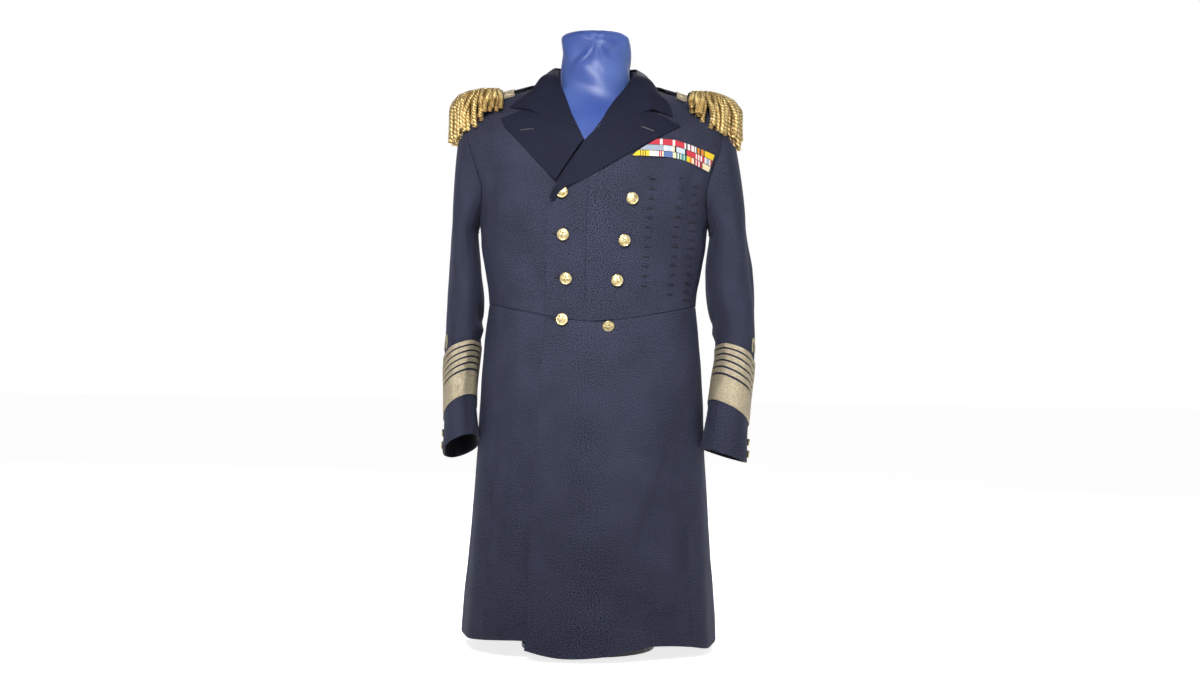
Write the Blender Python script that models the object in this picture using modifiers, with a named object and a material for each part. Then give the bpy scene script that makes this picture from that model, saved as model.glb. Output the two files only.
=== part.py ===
"""Naval frock coat on a limbless dress form, at real size.

The tables are in millimetres and the meshes in metres. +Z is up, the coat faces -Y, and the wearer's
left is at +X. The origin is the middle of the stand's underside. A place on the coat's body is an
angle, in degrees from the centre front towards the wearer's left, and a climb, which is the height
up to the chest and then runs on over the shoulder to its seam.
"""

import math
from collections import namedtuple

import bmesh
import bpy
from mathutils import Vector

MM = 0.001

# Cloth and the gaps between the pieces
CLOTH = 2.5
SEAM_GAP = 0.3
LAID_GAP = 0.8
UNDERLAP = 4.0
WAIST_GAP = 0.9

# The coat's body: one row for each level
ROUNDNESS = 2.35
Level = namedtuple("Level", "height half_width front_depth back_depth")
LEVELS = (
    Level(0, 240, 191, 169),
    Level(86, 235, 186, 164),
    Level(180, 227, 178, 156),
    Level(275, 220, 168, 147),
    Level(369, 214, 158, 139),
    Level(464, 210, 147, 129),
    Level(558, 203, 137, 114),
    Level(609, 198, 131, 100),
    Level(650, 194, 128, 95),
    Level(709, 204, 134, 102),
    Level(752, 211, 140, 110),
    Level(794, 214, 145, 117),
    Level(850, 232, 148, 121),
    Level(900, 254, 146, 122),
    Level(950, 268, 141, 119),
    Level(1000, 273, 134, 113),
    Level(1060, 275, 124, 105),
)
ROLL_START = 900.0
ROLL_REACH = 150.0
RIDGE = ROLL_START + ROLL_REACH * math.pi / 2
NECK_POINT = (76.0, 1060.0)
SHOULDER_SLOPE = 0.284
SHOULDER_LEVEL = 0.9
NECK_EASE = 20.0

# Waist seam and hem: one row for each angle
WAIST_LOW, WAIST_RISE, WAIST_WIDTH, WAIST_BEND, WAIST_BACK_RISE = 609.0, 32.0, 194.0, 1.3, 4.0
Hem = namedtuple("Hem", "angle height")
HEM = (
    Hem(-180, 20), Hem(-120, 19), Hem(-90, 25), Hem(-62, 27), Hem(-42, 33), Hem(-30, 36),
    Hem(-20, 36), Hem(0, 34), Hem(30, 30),
)
OVER_HEM = (
    Hem(-35, 24), Hem(-26, 21), Hem(-15, 12), Hem(-5, 8), Hem(6, 14), Hem(22, 29), Hem(45, 25),
    Hem(68, 13), Hem(90, 16), Hem(130, 19), Hem(180, 20),
)

# Soft folds of the skirt, deepest at the hem
Fold = namedtuple("Fold", "angle spread depth")
SKIRT_FOLDS = (
    Fold(-150, 9, 9), Fold(-126, 8, -8), Fold(-104, 8, 8), Fold(-80, 7, -5),
    Fold(78, 7, -4), Fold(100, 8, 8), Fold(123, 8, -8), Fold(148, 9, 9), Fold(40, 9, -3),
    Fold(12, 10, 4),
)

# Armhole, as a slot in the body's surface with a round lower end
ARM_ANGLE, ARM_BOTTOM, ARM_ROUND = 58.0, 797.0, 88.0
ARM_STEPS = 20
UNDERARM_STEP, SIDE_BACK_STEP = 8, 15
RIDGE_CROWDING = 1.25

# Rows and columns of the panels
BODY_ROWS, SKIRT_ROWS = 6, 9
FRONT_COLUMNS, SIDE_COLUMNS, SKIRT_FRONT_COLUMNS, SKIRT_SIDE_COLUMNS = 8, 7, 9, 9
STRIP_COLUMNS, NECK_COLUMNS, SHOULDER_COLUMNS = 3, 3, 4

# Lines on the front, seen from the front, as x and height
OVER_EDGE = ((-88, 609), (-86, 700), (-85, 765), (-79, 825))
OVER_ROLL = ((-79, 825), (-65, 861), (-16, 935), (-8, 947))
OVER_ROLL_TOP = ((-8, 947), (25, 996), (52, 1034), (75, 1060))
EDGE_APEX, SEAM_APEX = 0.7, 0.8
STRIP_SEAM = ((-15, 609), (-13, 765), (-10, 865), (-8, 947))
UNDER_EDGE = ((66, 609), (60, 700), (45, 800), (20, 861), (-16, 935), (-46, 996), (-64, 1032), (-75, 1060))
OVER_SKIRT_EDGE = ((-113, 20), (-104, 250), (-96, 430), (-88, 609))
UNDER_SKIRT_EDGE = ((-70, 30), (-68, 300), (-66, 609))
SKIRT_SEAM = ((190, 20), (182, 180), (176, 330), (170, 480), (164, 636))
BACK_NECK = ((0.01, 1044), (40, 1048), (75, 1060))
SIDE_BACK = ((48, 645), (60, 700), (84, 770), (130, 830), (180, 868))
BACK_EDGE = ((82, 20), (74, 200), (62, 400), (48, 645))
VENT_TOP, VENT_LAP, VENT_EASE, VENT_MARGIN, VENT_DEPTH, VENT_STEP = 628.0, 18.0, 40.0, 14.0, 4.8, 8.0
BACK_FADE = 4
PLEAT_ANGLE, PLEAT_FOLD_ANGLE = 3.6, 2.5
FRONT_LAP_MARGIN, FRONT_LAP_EASE = 46.0, 30.0

# Lapels: the edges of each, seen from the front
ROLL_LIFT = 4.5
OVER_LAPEL = {
    "roll": ((-62, 866), (-38, 902), (-14, 938), (12, 977), (17, 984)),
    "gorge": ((17, 984), (58, 990), (96, 999)),
    "notch": ((96, 999), (126, 985), (155, 969)),
    "edge": ((-48, 854), (-20, 867), (11, 883), (71, 918), (117, 946), (155, 969)),
}
UNDER_LAPEL = {
    "roll": ((-20, 936), (-30, 960), (-39, 981)),
    "gorge": ((-39, 981), (-80, 990), (-117, 1000)),
    "notch": ((-117, 1000), (-146, 991), (-173, 980)),
    "edge": ((-69, 863), (-108, 902), (-145, 942), (-166, 962), (-173, 980)),
    "foot": ((-20, 936), (-45, 900), (-69, 863)),
}
LAPEL_ROWS, LAPEL_GORGE_COLUMNS, LAPEL_NOTCH_COLUMNS = 9, 4, 3

# Collar: from the wearer's left front end, round the back, to the right front end
Collar = namedtuple("Collar", "fold_x fold_y fold_height edge_x edge_height behind bend")
COLLAR = (
    Collar(21, -119, 988, 141, 998, False, 9),
    Collar(50, -79, 1036, 131, 1021, False, 0),
    Collar(71, -38, 1070, 118, 1039, False, 0),
    Collar(77, 6, 1089, 105, 1049, True, 0),
    Collar(61, 46, 1095, 84, 1034, True, 0),
    Collar(0, 64, 1096, 0, 1028, True, 0),
    Collar(-61, 46, 1095, -84, 1034, True, 0),
    Collar(-78, 6, 1090, -105, 1049, True, 0),
    Collar(-74, -38, 1072, -122, 1039, False, 0),
    Collar(-62, -74, 1042, -142, 1023, False, 0),
    Collar(-43, -116, 986, -161, 1006, False, 4),
)
BEND_PEAK = 0.64
LAID_END, ROUND_END = 0.07, 0.2
Neckline = namedtuple("Neckline", "x y height")
NECKLINE = (
    Neckline(71, -37, 1057), Neckline(76, 4, 1061), Neckline(60, 32, 1053), Neckline(0, 49, 1044),
    Neckline(-60, 32, 1053), Neckline(-77, 4, 1061), Neckline(-74, -37, 1058),
)
COLLAR_COLUMNS, COLLAR_ROWS = 24, 5
COLLAR_BULGE, COLLAR_END_BULGE, COLLAR_RISE, NECK_MIDDLE = 8.0, 0.15, 4.0, -8.0
STAND_COLUMNS, STAND_INSET, STAND_DROP, STAND_MIDDLE = 18, 2.5, 5.0, 4.0

# Sleeves: one row for each ring down the arm
Ring = namedtuple("Ring", "height outer inner centre_y half_depth tilt")
RIGHT_ARM = (
    Ring(770, 266, 217.5, 2, 84, -2), Ring(742, 268, 215, 2, 84, -2), Ring(690, 271, 210, 3, 82, 0),
    Ring(640, 274, 206, 2, 80, 3), Ring(590, 275, 208, -3, 77, 8), Ring(540, 276, 210, -13, 74, 12),
    Ring(490, 274, 214, -26, 70, 15), Ring(440, 272, 214, -41, 66, 17), Ring(400, 271, 213, -53, 63, 17),
    Ring(377, 270, 212, -60, 62, 17),
)
LEFT_ARM = (
    Ring(770, 288, 218, 2, 84, -2), Ring(742, 293, 215, 2, 84, -2), Ring(690, 301, 211, 3, 82, 0),
    Ring(640, 305, 219, 2, 80, 3), Ring(590, 306, 229, -3, 77, 8), Ring(540, 304, 232, -13, 74, 12),
    Ring(490, 298, 224, -26, 70, 15), Ring(440, 293, 216, -41, 66, 17), Ring(400, 291, 214, -53, 63, 17),
    Ring(366, 290, 213, -62, 62, 17),
)
ARM_ROUNDNESS = 2.2
CAP_ROWS = 4
ARM_SHARES = (0.0, 0.15, 0.3, 0.44, 0.555, 0.64, 0.735, 0.84, 1.0)
HIND_SEAM, FORE_SEAM = -2, 7
CapPull = namedtuple("CapPull", "step start_pull start_dip end_pull")
CAP_PULLS = (CapPull(0, 70, 18, 190), CapPull(5, 45, 40, 110), CapPull(10, 14, 82, 14))

# Gold lace on the sleeves: heights of the lower edge at the outer face
Lace = namedtuple("Lace", "name low width")
LACE = (
    Lace("lace_broad", 442, 46), Lace("lace_1", 491, 9.5), Lace("lace_2", 503, 9.5),
    Lace("lace_3", 515, 9.5), Lace("lace_4", 527, 9.5), Lace("lace_5", 539, 9.5),
)
LACE_ARCH, LACE_THICK, LACE_GAP = 9.0, 1.2, 1.0
CURL_RADIUS, CURL_WIDTH, CURL_RISE, CURL_ARM_RADIUS = 11.3, 8.0, 16.3, 74.0
CURL_START, CURL_SWEEP, CURL_STEPS, CURL_STEP = -50.0, 280.0, 14, 1.2

# Buttons
Button = namedtuple("Button", "name x height behind")
BUTTONS = (
    Button("button_left_1", -57, 842, False), Button("button_left_2", -54, 766, False),
    Button("button_left_3", -48, 687, False), Button("button_left_4", -54, 612, False),
    Button("button_right_1", 69, 832, False), Button("button_right_2", 56, 757, False),
    Button("button_right_3", 44, 685, False), Button("button_right_4", 29, 606, False),
    Button("button_hip_left", 34, 654, True), Button("button_hip_right", -34, 654, True),
)
BUTTON_PROFILE = (
    (0.0, 6.8), (5.0, 6.5), (9.0, 5.3), (10.2, 6.0), (11.6, 4.4), (10.4, 2.0), (3.0, 1.0), (3.0, 0.0),
    (0.0, 0.0),
)
CUFF_BUTTON_SCALE = 0.66
BUTTON_GAP, HIP_BUTTON_GAP, CUFF_BUTTON_GAP = 0.5, 1.1, -0.1
BUTTON_SIDES = 10
CUFF_BUTTON_RISES = (16.0, 38.0)

# Epaulettes
STRAP_START, STRAP_END, STRAP_HALF, STRAP_THICK = 112.0, 169.0, 31.0, 6.0
STRAP_SKEW = 20.0
LOOP_START, LOOP_END, LOOP_HALF, LOOP_THICK = 150.0, 169.0, 46.0, 1.5
LOOP_RUN, LOOP_EASE = 12.0, 8.0
PAD_CENTRE, PAD_INNER, PAD_HEIGHT, PAD_THICK, PAD_DOME = 196.0, 172.4, 1039.9, 9.0, 2.5
PAD_REACH_OUT, PAD_REACH_SIDE, PAD_TURN = 58.0, 54.0, 105.0
PAD_ROWS, PAD_ROOT = (0.0, 0.35, 0.7, 1.0), 27.0
STRANDS, STRAND_STEPS, STRAND_SHARE = 20, 4, 0.84
STRAND_WIDE, STRAND_HIGH, STRAND_TIP, STRAND_TURN, STRAND_BEND = 0.96, 0.9, 0.9, 1.35, 1.5
STRAND_SAG = 0.35
Strand = namedtuple("Strand", "turn reach drop")
STRAND_SHAPE = (Strand(0, 20, 104), Strand(38, 32, 100), Strand(75, 39, 74), Strand(105, 38, 50))

# Ribbon rows on the left chest: corners seen from the front
Ribbon = namedtuple("Ribbon", "name low_start low_middle low_end high_end high_middle high_start")
RIBBONS = (
    Ribbon("ribbons_1", (96, 930), (150, 927.5), (215, 907.5), (218.5, 918), (152, 938.5), (113, 941)),
    Ribbon("ribbons_2", (80, 919.5), (150, 916.8), (211.5, 897), (214.8, 907), (150, 927), (95.5, 929.5)),
    Ribbon("ribbons_3", (68, 909), (150, 906), (208, 886.5), (211.2, 896.5), (150, 916.3), (79, 919)),
)
RIBBON_COLUMNS, RIBBON_THICK = 7, 1.8

# Dress form and its stand
FORM_LEVELS = (
    Level(560, 184, 118, 92), Level(609, 180, 114, 84), Level(650, 178, 112, 80),
    Level(709, 186, 118, 86), Level(794, 198, 129, 100), Level(850, 204, 131, 104),
    Level(900, 206, 128, 104), Level(950, 206, 119, 98), Level(1000, 204, 108, 90),
    Level(1060, 196, 90, 76),
)
FORM_BOTTOM, FORM_ROWS, FORM_COLUMNS, FORM_DROP = 560.0, 12, 24, 3.3
NECK_HALF, NECK_FOOT, NECK_DEPTH, NECK_Y = 64.7, 67.3, 52.0, -13.0
NECK_LOW, NECK_TOP, NECK_EDGE = 985.0, 1158.0, 7.0
POLE_RADIUS, BASE_RADIUS, BASE_THICK, BASE_EDGE = 14.0, 125.0, 12.0, 4.0
POLE_SIDES, BASE_SIDES = 16, 32


def through(rows, at, column):
    """Value of a column at a key, the rows' first field, on a smooth curve through the rows."""
    keys = [row[0] for row in rows]
    values = [getattr(row, column) for row in rows]
    at = min(max(at, keys[0]), keys[-1])
    place = next(index for index in range(1, len(keys)) if at <= keys[index])
    low, high = place - 1, place

    def slope(index):
        before, after = max(index - 1, 0), min(index + 1, len(keys) - 1)
        return (values[after] - values[before]) / (keys[after] - keys[before])

    span = keys[high] - keys[low]
    part = (at - keys[low]) / span
    square, cube = part * part, part ** 3
    return (
        values[low] * (2 * cube - 3 * square + 1)
        + slope(low) * span * (cube - 2 * square + part)
        + values[high] * (3 * square - 2 * cube)
        + slope(high) * span * (cube - square)
    )


def spline(points, part):
    """Point at a share of a Catmull-Rom curve through the points."""
    last = len(points) - 1
    place = min(int(part * last), last - 1)
    share = part * last - place
    a, b = points[max(place - 1, 0)], points[place]
    c, d = points[place + 1], points[min(place + 2, last)]
    return 0.5 * (
        2 * b + (c - a) * share + (2 * a - 5 * b + 4 * c - d) * share ** 2
        + (3 * b - a - 3 * c + d) * share ** 3
    )


def signed_power(value, power):
    return math.copysign(abs(value) ** power, value)


def ease(value):
    """Smooth step from 0 to 1."""
    value = min(max(value, 0.0), 1.0)
    return value * value * (3 - 2 * value)


def shoulder_height(x):
    """Height of the shoulder seam at a distance from the middle."""
    past = abs(x) - NECK_POINT[0]
    return NECK_POINT[1] - SHOULDER_SLOPE * (past + math.hypot(past, NECK_EASE)) / 2


def skirt_fold(angle, climb):
    """How far the skirt's soft folds push the cloth out at a place."""
    fall = ease((WAIST_LOW - climb) / WAIST_LOW)
    return fall * sum(
        fold.depth * math.exp(-(((angle - fold.angle) / fold.spread) ** 2)) for fold in SKIRT_FOLDS
    )


def body(angle, climb, levels=LEVELS, drop=0.0):
    """Point on the outer surface of the coat's body, or of the form when its own levels are given."""
    turn = max(climb - ROLL_START, 0.0) / ROLL_REACH
    level = climb if turn == 0 else ROLL_START + ROLL_REACH * math.sin(turn)
    wide = through(levels, level, "half_width")
    around, ahead = math.sin(math.radians(angle)), math.cos(math.radians(angle))
    deep = through(levels, level, "front_depth" if ahead > 0 else "back_depth")
    x = wide * signed_power(around, 2 / ROUNDNESS)
    y = -deep * signed_power(ahead, 2 / ROUNDNESS) * math.cos(turn)
    z = climb
    if turn:
        z = ROLL_START + (shoulder_height(x) - drop - ROLL_START) * math.sin(turn)
    point = Vector((x, y, z))
    if levels is LEVELS and climb < WAIST_LOW:
        point += Vector((x, y, 0)).normalized() * skirt_fold(angle, climb)
    return point


def on_body(spot, lift=0.0):
    """Point above the body's surface at a spot, which holds an angle and a climb."""
    angle, climb = spot
    across = body(angle + 0.5, climb) - body(angle - 0.5, climb)
    up = body(angle, climb + 1) - body(angle, climb - 1)
    return body(angle, climb) + across.cross(up).normalized() * lift


def spot_at(x, height, behind=False):
    """Spot on the body that has this x and height, seen from the front or from behind."""
    climb = level = height
    if height > ROLL_START:
        share = min((height - ROLL_START) / (shoulder_height(x) - ROLL_START), 1.0)
        turn = math.asin(share)
        climb, level = ROLL_START + ROLL_REACH * turn, ROLL_START + ROLL_REACH * share
    share = min(abs(x) / through(LEVELS, level, "half_width"), 1.0)
    angle = math.degrees(math.asin(share ** (ROUNDNESS / 2)))
    return Vector((math.copysign(180 - angle if behind else angle, x), climb))


def spot_over(x, y):
    """Spot on the shoulder at this x and y."""
    level = ROLL_START + SHOULDER_LEVEL * ROLL_REACH
    share = abs(x) / through(LEVELS, level, "half_width")
    deep = through(LEVELS, level, "back_depth" if y > 0 else "front_depth")
    deep *= (1 - share ** ROUNDNESS) ** (1 / ROUNDNESS)
    angle = math.degrees(math.asin(share ** (ROUNDNESS / 2)))
    climb = ROLL_START + ROLL_REACH * math.acos(min(abs(y) / deep, 1.0))
    return Vector((math.copysign(180 - angle if y > 0 else angle, x), climb))


def line(points, steps, behind=False):
    """Spots, evenly apart, on a smooth line through points given as x and height."""
    corners = [Vector(point) for point in points]
    fine = [spot_at(*spline(corners, index / 80), behind) for index in range(81)]
    places = [body(*spot) for spot in fine]
    run = [0.0]
    for before, after in zip(places, places[1:]):
        run.append(run[-1] + (after - before).length)
    spots = []
    for index in range(steps + 1):
        goal = run[-1] * index / steps
        place = next(at for at in range(1, len(run)) if run[at] >= goal - 1e-9)
        share = (goal - run[place - 1]) / (run[place] - run[place - 1])
        spots.append(fine[place - 1].lerp(fine[place], share))
    return spots


def straight(start, end, steps):
    """Spots, evenly apart, from one spot to another."""
    return [start.lerp(end, index / steps) for index in range(steps + 1)]


def waist_height(angle):
    x = abs(body(angle, WAIST_LOW + WAIST_RISE / 2).x)
    front = WAIST_LOW + WAIST_RISE * min(x / WAIST_WIDTH, 1.0) ** WAIST_BEND
    return front if abs(angle) < 90 else WAIST_LOW + WAIST_RISE + WAIST_BACK_RISE * (1 - x / WAIST_WIDTH)


def along_waist(start, end, shares, drop=0.0):
    """Spots on the waist seam between two angles, at these shares of the way."""
    angles = [start + (end - start) * share for share in shares]
    return [Vector((angle, waist_height(angle) - drop)) for angle in angles]


def along_hem(rows, start, end, shares):
    """Spots on the hem between two angles, at these shares of the way."""
    angles = [start + (end - start) * share for share in shares]
    return [Vector((angle, through(rows, angle, "height"))) for angle in angles]


def even(steps):
    """Even shares from 0 to 1."""
    return [index / steps for index in range(steps + 1)]


def armhole(step, side=1):
    """Spot at a step round the armhole: 0 at the shoulder seam, then down the front and up the back."""
    quarter = ARM_STEPS / 4
    behind = step == ARM_STEPS or step % ARM_STEPS > ARM_STEPS / 2
    step = step % ARM_STEPS
    step = min(step, ARM_STEPS - step)
    high = ARM_BOTTOM + ARM_ROUND
    if step <= quarter:
        angle, climb = ARM_ANGLE, RIDGE + (high - RIDGE) * (step / quarter) ** RIDGE_CROWDING
    else:
        turn = math.pi / 2 * (step - quarter) / quarter
        angle = ARM_ANGLE + (90 - ARM_ANGLE) * (1 - math.cos(turn))
        climb = high - ARM_ROUND * math.sin(turn)
    return Vector((side * (180 - angle if behind else angle), climb))


def coons(bottom, top, left, right, fade=1, shares=None):
    """Rows of spots that fill the space between four edges, given as lists of spots.

    Each row runs from left to right, and takes on the shape of the bottom or top edge near it. A
    higher fade keeps that to the rows close by.
    """
    across, up = len(bottom) - 1, len(left) - 1
    shares = shares or even(across)
    rows = []
    for row in range(up + 1):
        v = row / up
        spots = []
        for column, u in enumerate(shares):
            spot = left[row].lerp(right[row], u)
            spot += (1 - v) ** fade * (bottom[column] - bottom[0].lerp(bottom[-1], u))
            spot += v ** fade * (top[column] - top[0].lerp(top[-1], u))
            spots.append(spot)
        rows.append(spots)
    return rows


def trim(rows, gap):
    """Draws the rim of a grid of points in, so that the piece ends half a seam gap before its seam."""
    trimmed = [list(row) for row in rows]
    for row in trimmed:
        row[0], row[-1] = step_in(row[0], row[1], gap), step_in(row[-1], row[-2], gap)
    for column in range(len(rows[0])):
        low, high = trimmed[0][column], trimmed[-1][column]
        trimmed[0][column] = step_in(low, trimmed[1][column], gap)
        trimmed[-1][column] = step_in(high, trimmed[-2][column], gap)
    return trimmed


def step_in(point, inner, gap):
    return point + (inner - point).normalized() * gap


def material(name, colour, roughness, metallic=0.0):
    """Principled material with a plain colour."""
    made = bpy.data.materials.new(name)
    made.use_nodes = True
    shader = made.node_tree.nodes["Principled BSDF"]
    shader.inputs["Base Color"].default_value = (*colour, 1.0)
    shader.inputs["Roughness"].default_value = roughness
    shader.inputs["Metallic"].default_value = metallic
    made.diffuse_color = (*colour, 1.0)
    return made


def finish(mesh, name, look, collection, location=(0, 0, 0), smooth=True):
    """Makes the named object of a bmesh, with a material of its own."""
    bmesh.ops.recalc_face_normals(mesh, faces=mesh.faces[:])
    if mesh.calc_volume(signed=True) < 0:
        bmesh.ops.reverse_faces(mesh, faces=mesh.faces[:])
    data = bpy.data.meshes.new(name)
    mesh.to_mesh(data)
    mesh.free()
    data.materials.append(material(name, *look))
    if smooth:
        data.shade_smooth()
        data.set_sharp_from_angle(angle=math.radians(40))
    made = bpy.data.objects.new(name, data)
    made.location = location
    collection.objects.link(made)
    return made


def slab_mesh(outer, inner):
    """Closed sheet of cloth: a grid primitive, extruded once, whose two layers take the points given."""
    up, across = len(outer) - 1, len(outer[0]) - 1
    mesh = bmesh.new()
    bmesh.ops.create_grid(mesh, x_segments=across, y_segments=up, size=0.5)
    grown = bmesh.ops.extrude_face_region(mesh, geom=mesh.faces[:])["geom"]
    top = {item for item in grown if isinstance(item, bmesh.types.BMVert)}
    for vertex in mesh.verts:
        column, row = round((vertex.co.x + 0.5) * across), round((vertex.co.y + 0.5) * up)
        vertex.co = (outer if vertex in top else inner)[row][column] * MM
    return mesh


def sheet(name, look, collection, place, rows, lift, thickness=CLOTH, gap=SEAM_GAP / 2):
    """Cloth piece on a grid of spots: lift gives its outer face's height over the surface."""
    up, across = len(rows) - 1, len(rows[0]) - 1
    lifts = [[lift(spot, c / across, r / up) for c, spot in enumerate(row)] for r, row in enumerate(rows)]
    outer = [[place(s, h) for s, h in zip(row, line_)] for row, line_ in zip(rows, lifts)]
    inner = [[place(s, h - thickness) for s, h in zip(row, line_)] for row, line_ in zip(rows, lifts)]
    return finish(slab_mesh(trim(outer, gap), trim(inner, gap)), name, look, collection)


def level_with_body(spot, u, v):
    return 0.0


def raised(height):
    """Lift of a flat piece that lies on a panel, with its outer face at this height."""
    return lambda spot, u, v: height


def over_edge_x(height):
    """X of the over front's edge at a height."""
    if height < WAIST_LOW:
        rows = OVER_SKIRT_EDGE
    else:
        rows = OVER_EDGE + OVER_ROLL[1:] + OVER_ROLL_TOP[1:]
    low = max((row for row in rows if row[1] <= height), default=rows[0], key=lambda row: row[1])
    high = min((row for row in rows if row[1] > height), default=rows[-1], key=lambda row: row[1])
    if low[1] == high[1]:
        return low[0]
    return low[0] + (high[0] - low[0]) * (height - low[1]) / (high[1] - low[1])


def under_front_lift(spot, u, v):
    """The under front runs beneath the over front, one layer of cloth lower."""
    point = body(*spot)
    return -UNDERLAP * ease((point.x - over_edge_x(point.z) + FRONT_LAP_MARGIN) / FRONT_LAP_EASE)


def make_body(look, collection):
    """Fronts, the left front's buttoning strip, side bodies and backs."""
    underarm = armhole(UNDERARM_STEP)
    neck_spot = spot_at(*BACK_NECK[-1])
    shoulder = armhole(0)
    for side, name in ((1, "left"), (-1, "right")):
        def mirror(spots):
            return [Vector((side * spot.x, spot.y)) for spot in spots]

        loop = [armhole(step) for step in range(ARM_STEPS + 1)]
        waist_at = Vector((underarm.x, waist_height(underarm.x)))
        outer = straight(waist_at, underarm, BODY_ROWS)[:-1] + loop[UNDERARM_STEP::-1]
        rows = len(outer) - 1
        if side == 1:
            seam = line(STRIP_SEAM, rows * 2 // 3)
            inner = seam[:-1] + line(OVER_ROLL_TOP, rows - len(seam) + 1)
        else:
            inner = mirror(line(UNDER_EDGE, rows))
        top = straight(neck_spot, shoulder, FRONT_COLUMNS)
        bottom = along_waist(inner[0].x, outer[0].x, even(FRONT_COLUMNS))
        inner[0], inner[-1] = bottom[0], top[0]
        spots = [mirror(row) for row in coons(bottom, top, inner, outer)]
        lift = level_with_body if side == 1 else under_front_lift
        sheet(f"front_{name}", look, collection, on_body, spots, lift)

        back_low = line(SIDE_BACK, BODY_ROWS, behind=True)
        back_low[-1] = armhole(SIDE_BACK_STEP)
        waist = along_waist(underarm.x, back_low[0].x, even(SIDE_COLUMNS))
        back_low[0] = waist[-1]
        top = loop[UNDERARM_STEP:SIDE_BACK_STEP + 1]
        spots = coons(waist, top, straight(waist_at, underarm, BODY_ROWS), back_low)
        sheet(f"side_{name}", look, collection, on_body, [mirror(row) for row in spots], level_with_body)

        edge = line(BACK_EDGE, SKIRT_ROWS, behind=True)
        edge[-1] = back_low[0]
        outer = edge[:-1] + back_low[:-1] + loop[SIDE_BACK_STEP:]
        neck = spot_at(*BACK_NECK[0], behind=True)
        above = len(outer) - 1 - SKIRT_ROWS
        centre = []
        for row in range(len(outer)):
            if row <= SKIRT_ROWS:
                height = outer[0].y + (outer[SKIRT_ROWS].y - outer[0].y) * row / SKIRT_ROWS
                lap = VENT_LAP * ease((VENT_TOP - height) / VENT_LAP)
                centre.append(Vector((past_centre(lap, height), height)))
            else:
                share = (row - SKIRT_ROWS) / above
                centre.append(Vector((180, outer[SKIRT_ROWS].y + (neck.y - outer[SKIRT_ROWS].y) * share)))
        neck_side = Vector((180 - neck_spot.x, RIDGE))
        neck_line = line(BACK_NECK, NECK_COLUMNS, behind=True)
        top = neck_line[:-1] + straight(neck_side, armhole(ARM_STEPS), SHOULDER_COLUMNS)
        across = NECK_COLUMNS + SHOULDER_COLUMNS
        bottom = along_hem(OVER_HEM, centre[0].x, outer[0].x, even(across))
        centre[0], outer[0] = bottom[0], bottom[-1]
        spots = [mirror(row) for row in coons(bottom, top, centre, outer, BACK_FADE)]
        lift = level_with_body if side == 1 else vent_lift
        sheet(f"back_{name}", look, collection, on_body, spots, lift)

    edge = line(OVER_EDGE + OVER_ROLL[1:], BODY_ROWS * 2)
    seam = line(STRIP_SEAM, BODY_ROWS * 2)
    bottom = along_waist(edge[0].x, seam[0].x, even(STRIP_COLUMNS))
    apex = straight(edge[-2].lerp(edge[-1], EDGE_APEX), seam[-2].lerp(seam[-1], SEAM_APEX), STRIP_COLUMNS)
    edge[0], seam[0], edge[-1], seam[-1] = bottom[0], bottom[-1], apex[0], apex[-1]
    sheet("front_left_strip", look, collection, on_body, coons(bottom, apex, edge, seam), level_with_body)


def past_centre(lap, height):
    """Angle of a place that lies past the centre back by this much."""
    return 360 + spot_at(-lap, height, behind=True).x if lap > 0.01 else 180.0


def vent_lift(spot, u, v):
    """The right back runs beneath the left one along the vent."""
    point = body(*spot)
    below = ease((VENT_TOP + 2 * VENT_EASE - point.z) / VENT_EASE)
    return -VENT_DEPTH * ease((point.x + VENT_LAP + VENT_MARGIN) / VENT_STEP) * below


def pleat_lift(spot, u, v):
    """The skirt's rearmost column tucks beneath the back as a side pleat."""
    return -UNDERLAP if u > (SKIRT_SIDE_COLUMNS - 1.5) / SKIRT_SIDE_COLUMNS else 0.0


def make_skirt(look, collection):
    """Skirt fronts and sides, from the waist seam to the hem."""
    for side, name in ((1, "left"), (-1, "right")):
        def mirror(spots):
            return [Vector((side * spot.x, spot.y)) for spot in spots]

        lapped = level_with_body if side == 1 else under_front_lift
        hems = OVER_HEM if side == 1 else tuple(Hem(-row.angle, row.height) for row in reversed(HEM))
        front_edge = line(OVER_SKIRT_EDGE if side == 1 else UNDER_SKIRT_EDGE, SKIRT_ROWS)
        seam = line(SKIRT_SEAM, SKIRT_ROWS)
        rear = line(BACK_EDGE, SKIRT_ROWS, behind=True)
        for label, left, right, columns, lift in (
            ("front", front_edge, seam, SKIRT_FRONT_COLUMNS, lapped),
            ("side", seam, rear, SKIRT_SIDE_COLUMNS, pleat_lift),
        ):
            left, right, shares = list(left), list(right), even(columns)
            if label == "side":
                span = left[0].x - right[0].x - PLEAT_ANGLE
                tucked = 1 + (PLEAT_ANGLE + PLEAT_FOLD_ANGLE) / span
                shares = [share * tucked for share in even(columns - 1)] + [1.0]
                right = [Vector((spot.x + PLEAT_ANGLE, spot.y)) for spot in right]
            bottom = along_hem(hems, left[0].x, right[0].x, shares)
            top = along_waist(left[-1].x, right[-1].x, shares, WAIST_GAP)
            left[0], right[0], left[-1], right[-1] = bottom[0], bottom[-1], top[0], top[-1]
            spots = [mirror(row) for row in coons(bottom, top, left, right, shares=shares)]
            sheet(f"skirt_{label}_{name}", look, collection, on_body, spots, lift)


def lapel_lift(spot, u, v):
    """A lapel rises over its roll line and lies close at its outer edge."""
    return LAID_GAP + CLOTH + ROLL_LIFT * (1 - u) ** 2


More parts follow.
